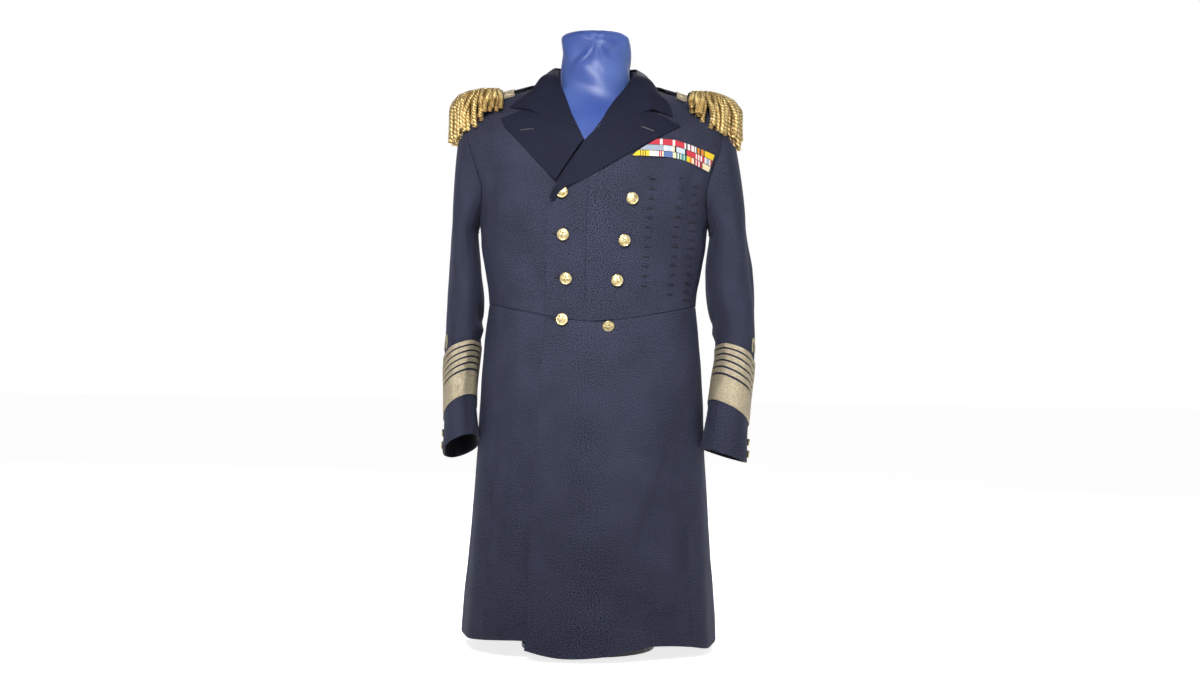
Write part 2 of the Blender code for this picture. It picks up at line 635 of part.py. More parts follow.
def make_lapels(look, collection):
    for name, lines in (("lapel_left", OVER_LAPEL), ("lapel_right", UNDER_LAPEL)):
        left = line(lines["roll"], LAPEL_ROWS)
        right = line(lines["edge"], LAPEL_ROWS)
        top = line(lines["gorge"], LAPEL_GORGE_COLUMNS)[:-1] + line(lines["notch"], LAPEL_NOTCH_COLUMNS)
        across = LAPEL_GORGE_COLUMNS + LAPEL_NOTCH_COLUMNS
        bottom = line(lines["foot"], across) if "foot" in lines else straight(left[0], right[0], across)
        sheet(name, look, collection, on_body, coons(bottom, top, left, right), lapel_lift)


def collar_point(part, drop):
    """Point on the collar: part runs round the neck, drop from the fold down to the outer edge."""
    fold = spline([Vector((row.fold_x, row.fold_y, row.fold_height)) for row in COLLAR], part)
    edges = [Vector((row.edge_x, row.edge_height, row.bend)) for row in COLLAR]
    edge_x, edge_height, bend = spline(edges, part)
    behind = COLLAR[round(part * (len(COLLAR) - 1))].behind
    edge = on_body(spot_at(edge_x, edge_height, behind), LAID_GAP + CLOTH)
    rise = bend * (drop / BEND_PEAK if drop < BEND_PEAK else (1 - drop) / (1 - BEND_PEAK)) ** 2
    near_end = min(part, 1 - part)
    round_neck = ease(near_end / ROUND_END)
    arch = math.sin(math.pi * drop)
    out = Vector((edge.x, edge.y - NECK_MIDDLE, 0)).normalized()
    bulge = out * COLLAR_BULGE * arch * (COLLAR_END_BULGE + (1 - COLLAR_END_BULGE) * round_neck)
    free = fold.lerp(edge, drop) + bulge + Vector((0, 0, COLLAR_RISE * arch * round_neck))
    laid_weight = 1 - ease((near_end - LAID_END) / LAID_END)
    if not laid_weight:
        return free
    x, height = fold.x + (edge_x - fold.x) * drop, fold.z + (edge_height - fold.z) * drop + rise
    lift = LAID_GAP + CLOTH + ROLL_LIFT * (1 - drop) ** 2
    return free.lerp(on_body(spot_at(x, height), lift), laid_weight)


def on_surface(surface, steps=(0.004, 0.02)):
    """Placing function for a surface of two shares: the point, raised by lift along its normal."""
    def place(spot, lift=0.0):
        u, v = spot
        across = surface(min(u + steps[0], 1), v) - surface(max(u - steps[0], 0), v)
        up = surface(u, min(v + steps[1], 1)) - surface(u, max(v - steps[1], 0))
        return surface(u, v) + across.cross(up).normalized() * lift
    return place


def shares(columns, rows):
    return [[Vector((c / columns, r / rows)) for c in range(columns + 1)] for r in range(rows + 1)]


def make_collar(look, collection):
    """The collar's fall over the shoulders, and the stand inside it."""
    fall = shares(COLLAR_COLUMNS, COLLAR_ROWS)
    sheet("collar_fall", look, collection, on_surface(collar_point), fall, level_with_body)

    seam = [Vector((row.x, row.y, row.height)) for row in NECKLINE]
    folds = [Vector((row.fold_x, row.fold_y, row.fold_height)) for row in COLLAR[2:-2]]

    def stand_point(part, rise):
        fold = spline(folds, part)
        inward = Vector((-fold.x, STAND_MIDDLE - fold.y, 0)).normalized()
        return spline(seam, part).lerp(fold + inward * STAND_INSET - Vector((0, 0, STAND_DROP)), rise)

    stand = shares(STAND_COLUMNS, 2)
    sheet("collar_stand", look, collection, on_surface(stand_point), stand, level_with_body)


def arm_ring(rows, height):
    return Ring(height, *(through(rows, height, field) for field in Ring._fields[1:]))


def arm_point(rows, side, step, height):
    """Point on a sleeve below the armhole: step runs round it, 0 outside and a quarter at the front."""
    ring = arm_ring(tuple(reversed(rows)), height)
    turn = 2 * math.pi * step / ARM_STEPS
    half = (ring.outer - ring.inner) / 2
    ahead = ring.half_depth * signed_power(math.sin(turn), 2 / ARM_ROUNDNESS)
    tilt = math.radians(ring.tilt)
    x = side * ((ring.outer + ring.inner) / 2 + half * signed_power(math.cos(turn), 2 / ARM_ROUNDNESS))
    return Vector((x, ring.centre_y - ahead * math.cos(tilt), ring.height + ahead * math.sin(tilt)))


def sleeve_point(rows, side, step, down):
    """Point on a sleeve: down runs from 0 at the armhole to 1 under the cap and 2 at the cuff."""
    top = rows[0].height
    if down > 1:
        return arm_point(rows, side, step, top + (rows[-1].height - top) * (down - 1))
    fold = step % ARM_STEPS
    fold = min(fold, ARM_STEPS - fold)
    pull = CapPull(fold, *(through(CAP_PULLS, fold, field) for field in CapPull._fields[1:]))
    dip = math.radians(pull.start_dip)
    out = Vector((side * math.cos(dip), 0, -math.sin(dip)))
    start = body(*armhole(step, side)) + out * 2 * SEAM_GAP
    end = arm_point(rows, side, step, top)
    square, cube = down * down, down ** 3
    return (
        start * (2 * cube - 3 * square + 1)
        + out * pull.start_pull * (cube - 2 * square + down)
        + end * (3 * square - 2 * cube)
        + Vector((0, 0, -pull.end_pull)) * (cube - square)
    )


def on_sleeve(rows, side):
    """Placing function for a sleeve's surface."""
    def place(spot, lift=0.0):
        step, down = spot
        across = sleeve_point(rows, side, step + 0.1, down) - sleeve_point(rows, side, step - 0.1, down)
        low, high = max(down - 0.01, 0.0), min(down + 0.01, 2.0)
        along = sleeve_point(rows, side, step, high) - sleeve_point(rows, side, step, low)
        normal = across.cross(along).normalized() * side
        return sleeve_point(rows, side, step, down) + normal * lift
    return place


def down_at(rows, height):
    """Share down the sleeve where its axis has this height."""
    return 1 + (rows[0].height - height) / (rows[0].height - rows[-1].height)


def make_sleeves(cloth, lace, collection):
    """Top and under sleeve, with the rows of lace and the loop above them, on each arm."""
    for side, name, rows in ((1, "left", LEFT_ARM), (-1, "right", RIGHT_ARM)):
        place = on_sleeve(rows, side)
        downs = [row / CAP_ROWS for row in range(CAP_ROWS)]
        downs += [1 + share for share in ARM_SHARES]
        for label, start, end in (
            ("top", HIND_SEAM, FORE_SEAM),
            ("under", FORE_SEAM, HIND_SEAM + ARM_STEPS),
        ):
            spots = [[Vector((step, down)) for step in range(start, end + 1)] for down in downs]
            sheet(f"sleeve_{label}_{name}", cloth, collection, place, spots, level_with_body, gap=2 * SEAM_GAP)
        for band in LACE:
            spots = []
            for height in (band.low, band.low + band.width):
                steps = range(HIND_SEAM, HIND_SEAM + ARM_STEPS + 1)
                arched = [height + LACE_ARCH * math.sin(2 * math.pi * step / ARM_STEPS) for step in steps]
                spots.append([Vector((s, down_at(rows, h))) for s, h in zip(steps, arched)])
            lift = raised(LACE_GAP + LACE_THICK)
            sheet(f"{band.name}_{name}", lace, collection, place, spots, lift, LACE_THICK, 0.5)
        make_curl(name, rows, side, lace, collection)


def make_curl(name, rows, side, look, collection):
    """Loop of lace above the top row, on the sleeve's outer face."""
    place = on_sleeve(rows, side)
    centre = LACE[-1].low + LACE[-1].width + CURL_RISE
    turns = [math.radians(CURL_START + CURL_SWEEP * share) for share in even(CURL_STEPS)]
    spots = []
    for radius in (CURL_RADIUS - CURL_WIDTH / 2, CURL_RADIUS + CURL_WIDTH / 2):
        ring = []
        for turn in turns:
            step = ARM_STEPS / (2 * math.pi) * math.asin(radius * math.cos(turn) / CURL_ARM_RADIUS)
            ring.append(Vector((step + CURL_STEP, down_at(rows, centre + radius * math.sin(turn)))))
        spots.append(ring)
    sheet(f"curl_{name}", look, collection, place, spots, raised(LACE_GAP + LACE_THICK), LACE_THICK, 0.0)


def turned(name, profile, sides, look, collection):
    """Solid of revolution: a profile down its outer side with a Screw modifier."""
    data = bpy.data.meshes.new(name)
    points = [(radius * MM, 0.0, height * MM) for radius, height in profile]
    data.from_pydata(points, [(index, index + 1) for index in range(len(points) - 1)], [])
    data.materials.append(material(name, *look))
    made = bpy.data.objects.new(name, data)
    screw = made.modifiers.new("turn", "SCREW")
    screw.steps = screw.render_steps = sides
    screw.use_merge_vertices = True
    screw.merge_threshold = 0.0001
    collection.objects.link(made)
    return made


def seat_button(name, look, collection, point, normal, gap=BUTTON_GAP, scale=1.0):
    """Button with its shank's foot a hair above the cloth."""
    profile = [(radius * scale, height * scale) for radius, height in BUTTON_PROFILE]
    made = turned(name, profile, BUTTON_SIDES, look, collection)
    made.location = (point + normal * gap) * MM
    made.rotation_euler = normal.to_track_quat("Z", "Y").to_euler()
    return made


def make_buttons(look, collection):
    for button in BUTTONS:
        spot = spot_at(button.x, button.height, button.behind)
        point = on_body(spot)
        gap = HIP_BUTTON_GAP if button.behind else BUTTON_GAP
        seat_button(button.name, look, collection, point, (on_body(spot, 1.0) - point).normalized(), gap)
    for side, name, rows in ((1, "left", LEFT_ARM), (-1, "right", RIGHT_ARM)):
        place = on_sleeve(rows, side)
        for number, rise in enumerate(CUFF_BUTTON_RISES, 1):
            spot = (HIND_SEAM + 1.5, down_at(rows, rows[-1].height + rise))
            point = place(spot)
            normal = (place(spot, 1.0) - point).normalized()
            label = f"button_cuff_{name}_{number}"
            seat_button(label, look, collection, point, normal, CUFF_BUTTON_GAP, CUFF_BUTTON_SCALE)


def over_shoulder(place, lift=0.0):
    """Point above the shoulder at a place, given as x and y."""
    return on_body(spot_over(*place), lift)


def loop_lift(spot, u, v):
    """The lace loop lies on the coat and rises over the strap."""
    over_strap = ease((STRAP_HALF + LOOP_RUN - abs(spot[1])) / LOOP_EASE)
    return LAID_GAP + LOOP_THICK + (STRAP_THICK + LAID_GAP) * over_strap


def make_epaulettes(strap_look, lace_look, bullion_look, collection):
    for side, name in ((1, "left"), (-1, "right")):
        ys = [STRAP_HALF * (index / 3 - 1) for index in range(7)]
        starts = [STRAP_START + STRAP_SKEW * max(-y / STRAP_HALF, 0) for y in ys]
        spots = [
            [(side * (start + (STRAP_END - start) * index / 3), y) for index in range(4)]
            for start, y in zip(starts, ys)
        ]
        lift = raised(LAID_GAP + STRAP_THICK)
        sheet(f"epaulette_strap_{name}", strap_look, collection, over_shoulder, spots, lift, STRAP_THICK, 0.0)

        ys = [LOOP_HALF * (index / 5 - 1) for index in range(11)]
        spots = [[(side * x, y) for x in (LOOP_START, LOOP_END)] for y in ys]
        sheet(f"epaulette_loop_{name}", lace_look, collection, over_shoulder, spots, loop_lift, LOOP_THICK, 0.0)
        make_fringe(name, side, bullion_look, collection)


def pad_rim(turn, side):
    """Point of the crescent's rim at a turn, in degrees from straight out, in its middle plane."""
    around = math.radians(turn)
    x = PAD_CENTRE + PAD_REACH_OUT * math.cos(around)
    return Vector((side * x, -PAD_REACH_SIDE * math.sin(around), PAD_HEIGHT))


def make_fringe(name, side, look, collection):
    """Crescent with its bullion: each strand is drawn out of one face of the crescent's rim."""
    edges = [0.0]
    for _ in range(STRANDS - 1):
        edges += [edges[-1] + STRAND_SHARE, edges[-1] + 1.0]
    edges.append(edges[-1] + STRAND_SHARE)
    turns = [PAD_TURN * (2 * edge / edges[-1] - 1) for edge in edges]
    rows = []
    for share in PAD_ROWS:
        row = []
        for turn in turns:
            rim = pad_rim(turn, side)
            root = Vector((side * PAD_INNER, -PAD_ROOT * turn / PAD_TURN, PAD_HEIGHT))
            row.append(root.lerp(rim, share) + Vector((0, 0, PAD_DOME * math.sin(math.pi * share))))
        rows.append(row)
    half = Vector((0, 0, PAD_THICK / 2))
    mesh = slab_mesh([[p + half for p in row] for row in rows], [[p - half for p in row] for row in rows])
    mesh.faces.ensure_lookup_table()
    rim_points = [point * MM for point in rows[-1]]
    for strand in range(STRANDS):
        first, second = rim_points[2 * strand], rim_points[2 * strand + 1]
        middle = (first + second) / 2
        face = min(mesh.faces, key=lambda face: (face.calc_center_median() - middle).length)
        draw_strand(mesh, face, (turns[2 * strand] + turns[2 * strand + 1]) / 2, middle, side)
    finish(mesh, f"epaulette_fringe_{name}", look, collection, smooth=False)


def draw_strand(mesh, face, turn, root, side):
    """Draws one strand out of a face, outwards and then down, and closes it with the face."""
    around = math.radians(turn)
    out = Vector((side * math.cos(around), -math.sin(around), 0)).normalized()
    beside = Vector((-out.y, out.x, 0))
    reach = through(STRAND_SHAPE, abs(turn), "reach") * MM
    drop = through(STRAND_SHAPE, abs(turn), "drop") * MM
    frame = {}
    for vertex in face.verts:
        offset = vertex.co - root
        frame[vertex] = (offset.dot(beside) * STRAND_WIDE, offset.z * STRAND_HIGH)
    for step in range(1, STRAND_STEPS + 1):
        swing = math.pi / 2 * step / STRAND_STEPS
        fall = drop * step / STRAND_STEPS
        grown = bmesh.ops.extrude_discrete_faces(mesh, faces=[face])["faces"][0]
        corners = {tuple(vertex.co): vertex for vertex in grown.verts}
        moved = {corners[tuple(vertex.co)]: offsets for vertex, offsets in frame.items()}
        level = math.sin(min(swing * STRAND_TURN, math.pi / 2))
        sag = fall * (STRAND_SAG + (1 - STRAND_SAG) * level) ** STRAND_BEND
        centre = root + out * reach * level - Vector((0, 0, sag))
        tip = STRAND_TIP if step == STRAND_STEPS else 1.0
        for vertex, (across, up) in moved.items():
            vertex.co = centre + beside * across * tip
            vertex.co += (out * up * level + Vector((0, 0, up * (1 - level)))) * tip
        frame, face = moved, grown


def make_ribbons(look, collection):
    for row in RIBBONS:
        low = line((row.low_start, row.low_middle, row.low_end), RIBBON_COLUMNS)
        high = line((row.high_start, row.high_middle, row.high_end), RIBBON_COLUMNS)
        spots = coons(low, high, straight(low[0], high[0], 1), straight(low[-1], high[-1], 1))
        sheet(row.name, look, collection, on_body, spots, raised(LAID_GAP + RIBBON_THICK), RIBBON_THICK, 0.0)


def make_form(look, metal, collection, cutters):
    """Limbless dress form: a torso closed along its shoulders, joined to a neck, on a pole and a base."""
    mesh = bmesh.new()
    grid = []
    for row in range(FORM_ROWS + 1):
        climb = FORM_BOTTOM + (RIDGE - FORM_BOTTOM) * row / FORM_ROWS
        ring = [
            mesh.verts.new(body(360 * c / FORM_COLUMNS - 180, climb, FORM_LEVELS, FORM_DROP) * MM)
            for c in range(FORM_COLUMNS)
        ]
        grid.append(ring)
    for low, high in zip(grid, grid[1:]):
        for column in range(FORM_COLUMNS):
            after = (column + 1) % FORM_COLUMNS
            mesh.faces.new((low[column], low[after], high[after], high[column]))
    mesh.faces.new(grid[0])
    bmesh.ops.remove_doubles(mesh, verts=mesh.verts[:], dist=0.00005)
    torso = finish(mesh, "dress_form", look, collection)

    neck = bmesh.new()
    bmesh.ops.create_cone(
        neck, cap_ends=True, segments=FORM_COLUMNS, radius1=NECK_FOOT * MM, radius2=NECK_HALF * MM,
        depth=(NECK_TOP - NECK_LOW) * MM,
    )
    rim = [edge for edge in neck.edges if all(vertex.co.z > 0 for vertex in edge.verts)]
    bmesh.ops.bevel(neck, geom=rim, offset=NECK_EDGE * MM, segments=3, affect="EDGES", profile=0.5)
    for vertex in neck.verts:
        vertex.co.y *= NECK_DEPTH / NECK_HALF
    centre = Vector((0, NECK_Y, (NECK_TOP + NECK_LOW) / 2)) * MM
    cutter = finish(neck, "neck_solid", look, cutters, centre)
    cutter.hide_render = True
    cutter.display_type = "WIRE"
    union = torso.modifiers.new("neck", "BOOLEAN")
    union.operation = "UNION"
    union.object = cutter

    top, foot, rim = FORM_BOTTOM - SEAM_GAP, BASE_THICK + SEAM_GAP, BASE_THICK - BASE_EDGE
    pole = ((0, top), (POLE_RADIUS, top), (POLE_RADIUS, foot), (0, foot))
    turned("form_pole", pole, POLE_SIDES, metal, collection)
    flat = BASE_RADIUS - BASE_EDGE
    base = ((0, BASE_THICK), (flat, BASE_THICK), (BASE_RADIUS, rim), (BASE_RADIUS, 0), (0, 0))
    turned("form_base", base, BASE_SIDES, metal, collection)


def main():
    for old in list(bpy.data.objects):
        bpy.data.objects.remove(old, do_unlink=True)
    parts = bpy.data.collections.new("naval_frock_coat")
    cutters = bpy.data.collections.new("cutters")
    bpy.context.scene.collection.children.link(parts)
    bpy.context.scene.collection.children.link(cutters)

    navy = ((0.028, 0.034, 0.062), 0.85)
    lapel = ((0.018, 0.021, 0.038), 0.85)
    gold_lace = ((0.42, 0.34, 0.2), 0.5, 0.6)
    gold = ((0.72, 0.5, 0.16), 0.35, 0.9)
    satin = ((0.06, 0.1, 0.42), 0.35)
    metal = ((0.1, 0.1, 0.11), 0.4, 0.8)
    ribbon = ((0.55, 0.1, 0.12), 0.7)

    make_form(satin, metal, parts, cutters)
    make_body(navy, parts)
    make_skirt(navy, parts)
    make_lapels(lapel, parts)
    make_collar(navy, parts)
    make_sleeves(navy, gold_lace, parts)
    make_buttons(gold, parts)
    make_epaulettes(lapel, gold_lace, gold, parts)
    make_ribbons(ribbon, parts)


main()
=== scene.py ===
"""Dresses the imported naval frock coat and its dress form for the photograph.

Lengths are in millimetres until a mesh is made, and then in metres. +Z is up, the coat faces -Y and
the wearer's left is at +X. A place on the coat's body is a spot: its angle, in degrees from the
centre front towards the wearer's left, and its climb, which is the height up to the chest and then
runs on over the shoulder to the seam on top.
"""

from __future__ import annotations

import logging
import math
from dataclasses import dataclass
from enum import Enum
from typing import Callable, NamedTuple, Sequence

import bpy
import numpy as np
from mathutils import Matrix, Vector


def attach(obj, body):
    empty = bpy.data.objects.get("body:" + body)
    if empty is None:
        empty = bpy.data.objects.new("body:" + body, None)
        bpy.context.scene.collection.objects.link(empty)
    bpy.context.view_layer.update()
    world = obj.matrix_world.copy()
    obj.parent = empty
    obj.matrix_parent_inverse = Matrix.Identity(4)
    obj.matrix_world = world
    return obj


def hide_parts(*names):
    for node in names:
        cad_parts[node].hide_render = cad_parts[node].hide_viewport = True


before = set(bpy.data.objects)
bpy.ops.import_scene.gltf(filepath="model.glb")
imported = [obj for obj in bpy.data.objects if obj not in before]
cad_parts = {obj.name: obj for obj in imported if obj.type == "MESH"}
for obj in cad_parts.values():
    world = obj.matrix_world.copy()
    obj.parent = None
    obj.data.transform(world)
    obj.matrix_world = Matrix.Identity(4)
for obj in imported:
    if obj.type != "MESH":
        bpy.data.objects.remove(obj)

log = logging.getLogger("frock_coat")
MM = 0.001
# share of its flat rectangle that a sheet fills at least, and below which a cut counts as tapered
LEAST_FILL = 0.301
TAPERED = 0.35
# least side of a sheet's flat rectangle, in metres
LEAST_SIDE = 0.0101
UP = (0.0, 0.0, 1.0)
Spots = list[Vector]
Lift = Callable[[Vector, float, float], float]
Place = Callable[[Vector, float], Vector]


# Numbers that a table or a curve gives


def through(rows: Sequence[tuple[float, ...]], at: float, column: int) -> float:
    """Value of a table's column at a key, which is each row's first field, on a smooth curve.

    Args:
        rows: The table, with its keys rising.
        at: The key to read at.
        column: Which field of the rows to read.

    Returns:
        The value there.
    """
    at = min(max(at, rows[0][0]), rows[-1][0])
    high = next(index for index in range(1, len(rows)) if at <= rows[index][0])

    def slope(index: int) -> float:
        """Slope of the curve at a row."""
        before, after = rows[max(index - 1, 0)], rows[min(index + 1, len(rows) - 1)]
        return (after[column] - before[column]) / (after[0] - before[0])

    start, end = rows[high - 1], rows[high]
    span = end[0] - start[0]
    part = (at - start[0]) / span
    square, cube = part * part, part ** 3
    return (
        start[column] * (2 * cube - 3 * square + 1)
        + slope(high - 1) * span * (cube - 2 * square + part)
        + end[column] * (3 * square - 2 * cube)
        + slope(high) * span * (cube - square)
    )


def spline(points: Sequence[Vector], part: float) -> Vector:
    """Point at a share of a Catmull-Rom curve through the points."""
    last = len(points) - 1
    place = min(int(part * last), last - 1)
    share = part * last - place
    a, b = points[max(place - 1, 0)], points[place]
    c, d = points[place + 1], points[min(place + 2, last)]
    return 0.5 * (
        2 * b + (c - a) * share + (2 * a - 5 * b + 4 * c - d) * share ** 2
        + (3 * b - a - 3 * c + d) * share ** 3
    )


def signed_power(value: float, power: float) -> float:
    """Power of a number that keeps its sign."""
    return math.copysign(abs(value) ** power, value)


def ease(value: float) -> float:
    """Smooth step from 0 to 1."""
    value = min(max(value, 0.0), 1.0)
    return value * value * (3 - 2 * value)


def even(steps: int) -> list[float]:
    """Even shares from 0 to 1."""
    return [index / steps for index in range(steps + 1)]


def straight(start: Vector, end: Vector, steps: int) -> Spots:
    """Spots, evenly apart, from one spot to another."""
    return [start.lerp(end, share) for share in even(steps)]


def coons(
    bottom: Spots, top: Spots, left: Spots, right: Spots, fade: int = 1, shares: list[float] | None = None
) -> list[Spots]:
    """Rows of spots that fill the space between four edges.

    Args:
        bottom: The lowest row, left to right.
        top: The highest row, left to right.
        left: The left edge, from below.
        right: The right edge, from below.
        fade: How fast the bottom's and top's shape fades away from them.
        shares: Where each column lies between left and right.

    Returns:
        The rows, from below.
    """
    across, up = len(bottom) - 1, len(left) - 1
    shares = shares or even(across)
    rows = []
    for row in range(up + 1):
        v = row / up
        spots = []
        for column, u in enumerate(shares):
            spot = left[row].lerp(right[row], u)
            spot += (1 - v) ** fade * (bottom[column] - bottom[0].lerp(bottom[-1], u))
            spot += v ** fade * (top[column] - top[0].lerp(top[-1], u))
            spots.append(spot)
        rows.append(spots)
    return rows


# Grids of points


def refine(grid: np.ndarray, axis: int, factor: int, breaks: Sequence[int] = ()) -> np.ndarray:
    """Sets more points between a grid's rows or columns, on Catmull-Rom curves.

    Args:
        grid: Points as rows, columns, values.
        axis: 0 for more rows, 1 for more columns.
        factor: How many steps take the place of one.
        breaks: Rows or columns at which the curve has a corner.

    Returns:
        The finer grid.
    """
    grid = np.moveaxis(grid, axis, 0)
    ends = [0, *breaks, len(grid) - 1]
    pieces = []
    for first, last in zip(ends, ends[1:]):
        part = grid[first:last + 1]
        part = np.concatenate([2 * part[:1] - part[1:2], part, 2 * part[-1:] - part[-2:-1]])
        shares = np.arange(factor).reshape(-1, *([1] * (part.ndim - 1))) / factor
        for index in range(1, len(part) - 2):
            a, b, c, d = part[index - 1:index + 3]
            pieces.append(0.5 * (
                2 * b + (c - a) * shares + (2 * a - 5 * b + 4 * c - d) * shares ** 2
                + (3 * b - a - 3 * c + d) * shares ** 3
            ))
    pieces.append(grid[-1:])
    return np.moveaxis(np.concatenate(pieces), 0, axis)


def normals(grid: np.ndarray) -> np.ndarray:
    """Unit normals of a grid of points."""
    across, up = np.gradient(grid, axis=1), np.gradient(grid, axis=0)
    cross = np.cross(across, up)
    return cross / np.maximum(np.linalg.norm(cross, axis=2, keepdims=True), 1e-9)


class Crease(NamedTuple):
    """Soft ridge or, with a negative height, a hollow, along a line seen from the front or from behind."""

    points: tuple[tuple[float, float], ...]
    height: float
    width: float


def crease_heights(x: np.ndarray, z: np.ndarray, creases: Sequence[Crease]) -> np.ndarray:
    """How far the creases lift the cloth at each place.

    Args:
        x: Places across.
        z: Their heights.
        creases: The creases, in the same coordinates.

    Returns:
        Lifts in millimetres.
    """
    lift = np.zeros_like(x)
    for crease in creases:
        line = np.array([spline([Vector(point) for point in crease.points], share) for share in even(24)])
        away = np.full(x.shape, 1e9)
        along = np.zeros_like(x)
        for index, (px, pz) in enumerate(line):
            distance = (x - px) ** 2 + (z - pz) ** 2
            nearer = distance < away
            along[nearer] = index / 24
            away = np.minimum(away, distance)
        fading = np.sin(np.pi * np.clip(along, 0.02, 0.98)) ** 0.7
        lift += crease.height * np.exp(-away / crease.width ** 2) * fading
    return lift


def ripples(x: np.ndarray, z: np.ndarray, height: float, seed: int) -> np.ndarray:
    """Slow, slight unevenness of hanging cloth: a few long waves in fixed directions."""
    source = np.random.default_rng(seed)
    lift = np.zeros_like(x)
    for length in (150.0, 105.0, 78.0, 55.0, 41.0):
        turn, start = source.uniform(0, math.pi), source.uniform(0, 2 * math.pi)
        run = x * math.cos(turn) * 1.4 + z * math.sin(turn) * 0.7
        lift += height * length / 150 * np.sin(2 * math.pi * run / length + start)
    return lift


# Materials


def linear(colour: str) -> tuple[float, float, float, float]:
    """Linear RGBA of a colour given as sRGB hex."""
    values = [int(colour[at:at + 2], 16) / 255 for at in (1, 3, 5)]
    return (*(v / 12.92 if v <= 0.04045 else ((v + 0.055) / 1.055) ** 2.4 for v in values), 1.0)


def add_node(
    tree: bpy.types.NodeTree, kind: str, inputs: dict[str | int, object] | None = None, **settings: object
) -> bpy.types.Node:
    """Adds a node with its settings, values and links.

    Args:
        tree: The material's node tree.
        kind: The node's type name.
        inputs: Values or output sockets for its inputs.
        settings: The node's own properties.

    Returns:
        The new node.
    """
    made = tree.nodes.new(kind)
    for name, value in settings.items():
        setattr(made, name, value)
    for name, value in (inputs or {}).items():
        if isinstance(value, bpy.types.NodeSocket):
            tree.links.new(value, made.inputs[name])
        else:
            made.inputs[name].default_value = value
    return made


def ramp(tree: bpy.types.NodeTree, factor: bpy.types.NodeSocket, stops: Sequence[tuple[float, str]],
         stepped: bool = False) -> bpy.types.NodeSocket:
    """Colour ramp with these stops, each a place and a hex colour; stepped has no blends between them."""
    made = add_node(tree, "ShaderNodeValToRGB", {"Fac": factor})
    made.color_ramp.interpolation = "CONSTANT" if stepped else "LINEAR"
    elements = made.color_ramp.elements
    while len(elements) < len(stops):
        elements.new(1.0)
    for element, (place, colour) in zip(elements, stops):
        element.position, element.color = place, linear(colour)
    return made.outputs["Color"]


def noise(
    tree: bpy.types.NodeTree, place: bpy.types.NodeSocket, scale: float, detail: float = 2.0
) -> bpy.types.NodeSocket:
    """Noise of this scale; its spots are about 1 / scale metres wide."""
    return add_node(
        tree, "ShaderNodeTexNoise", {"Vector": place, "Scale": scale, "Detail": detail}
    ).outputs["Fac"]


def wave(
    tree: bpy.types.NodeTree, place: bpy.types.NodeSocket, scale: float, distortion: float = 0.0,
    detail: float = 2.0,
) -> bpy.types.NodeSocket:
    """Even ribs across X, which are 0.314 / scale apart, in metres or in shares like the place."""
    return add_node(
        tree, "ShaderNodeTexWave",
        {"Vector": place, "Scale": scale, "Distortion": distortion, "Detail": detail}, bands_direction="X",
    ).outputs["Fac"]


def plus(
    tree: bpy.types.NodeTree, value: bpy.types.NodeSocket, factor: float, other: bpy.types.NodeSocket
) -> bpy.types.NodeSocket:
    """A value times a factor, plus another value."""
    return add_node(
        tree, "ShaderNodeMath", {0: value, 1: factor, 2: other}, operation="MULTIPLY_ADD"
    ).outputs[0]


def between(
    tree: bpy.types.NodeTree, value: bpy.types.NodeSocket, low: float, high: float
) -> bpy.types.NodeSocket:
    """A value from 0 to 1, spread between two limits."""
    return add_node(
        tree, "ShaderNodeMapRange", {"Value": value, "To Min": low, "To Max": high}
    ).outputs[0]


def bumped(
    tree: bpy.types.NodeTree, height: bpy.types.NodeSocket, strength: float, distance: float
) -> bpy.types.NodeSocket:
    """Normal of a bump of this height, whose distance is in metres."""
    return add_node(
        tree, "ShaderNodeBump", {"Height": height, "Strength": strength, "Distance": distance}
    ).outputs["Normal"]


def cloth_map(tree: bpy.types.NodeTree) -> bpy.types.NodeSocket:
    """Place on the cloth, in metres across and up the cut piece."""
    return add_node(tree, "ShaderNodeUVMap", uv_map="cloth").outputs["UV"]


def in_space(tree: bpy.types.NodeTree) -> bpy.types.NodeSocket:
    """Place in the object's own space, in metres."""
    return add_node(tree, "ShaderNodeTexCoord").outputs["Object"]


def surface(tree: bpy.types.NodeTree, **values: object) -> None:
    """Sets the Principled shader's inputs, with spaces in place of underscores, from values or sockets."""
    shader = next(item for item in tree.nodes if item.type == "BSDF_PRINCIPLED")
    for name, value in values.items():
        socket = shader.inputs[name.replace("_", " ")]
        if isinstance(value, bpy.types.NodeSocket):
            tree.links.new(value, socket)
        else:
            socket.default_value = value


@dataclass(frozen=True)
class Finish:
    """What every finish has: a name after the real material."""

    name: str

    def make(self) -> bpy.types.Material:
        """Makes the material, once for each name."""
        made = bpy.data.materials.get(self.name)
        if made is None:
            made = bpy.data.materials.new(self.name)
            made.use_nodes = True
            self.dress(made.node_tree)
        return made

    def dress(self, tree: bpy.types.NodeTree) -> None:
        """Adds the finish's own nodes."""
        raise NotImplementedError


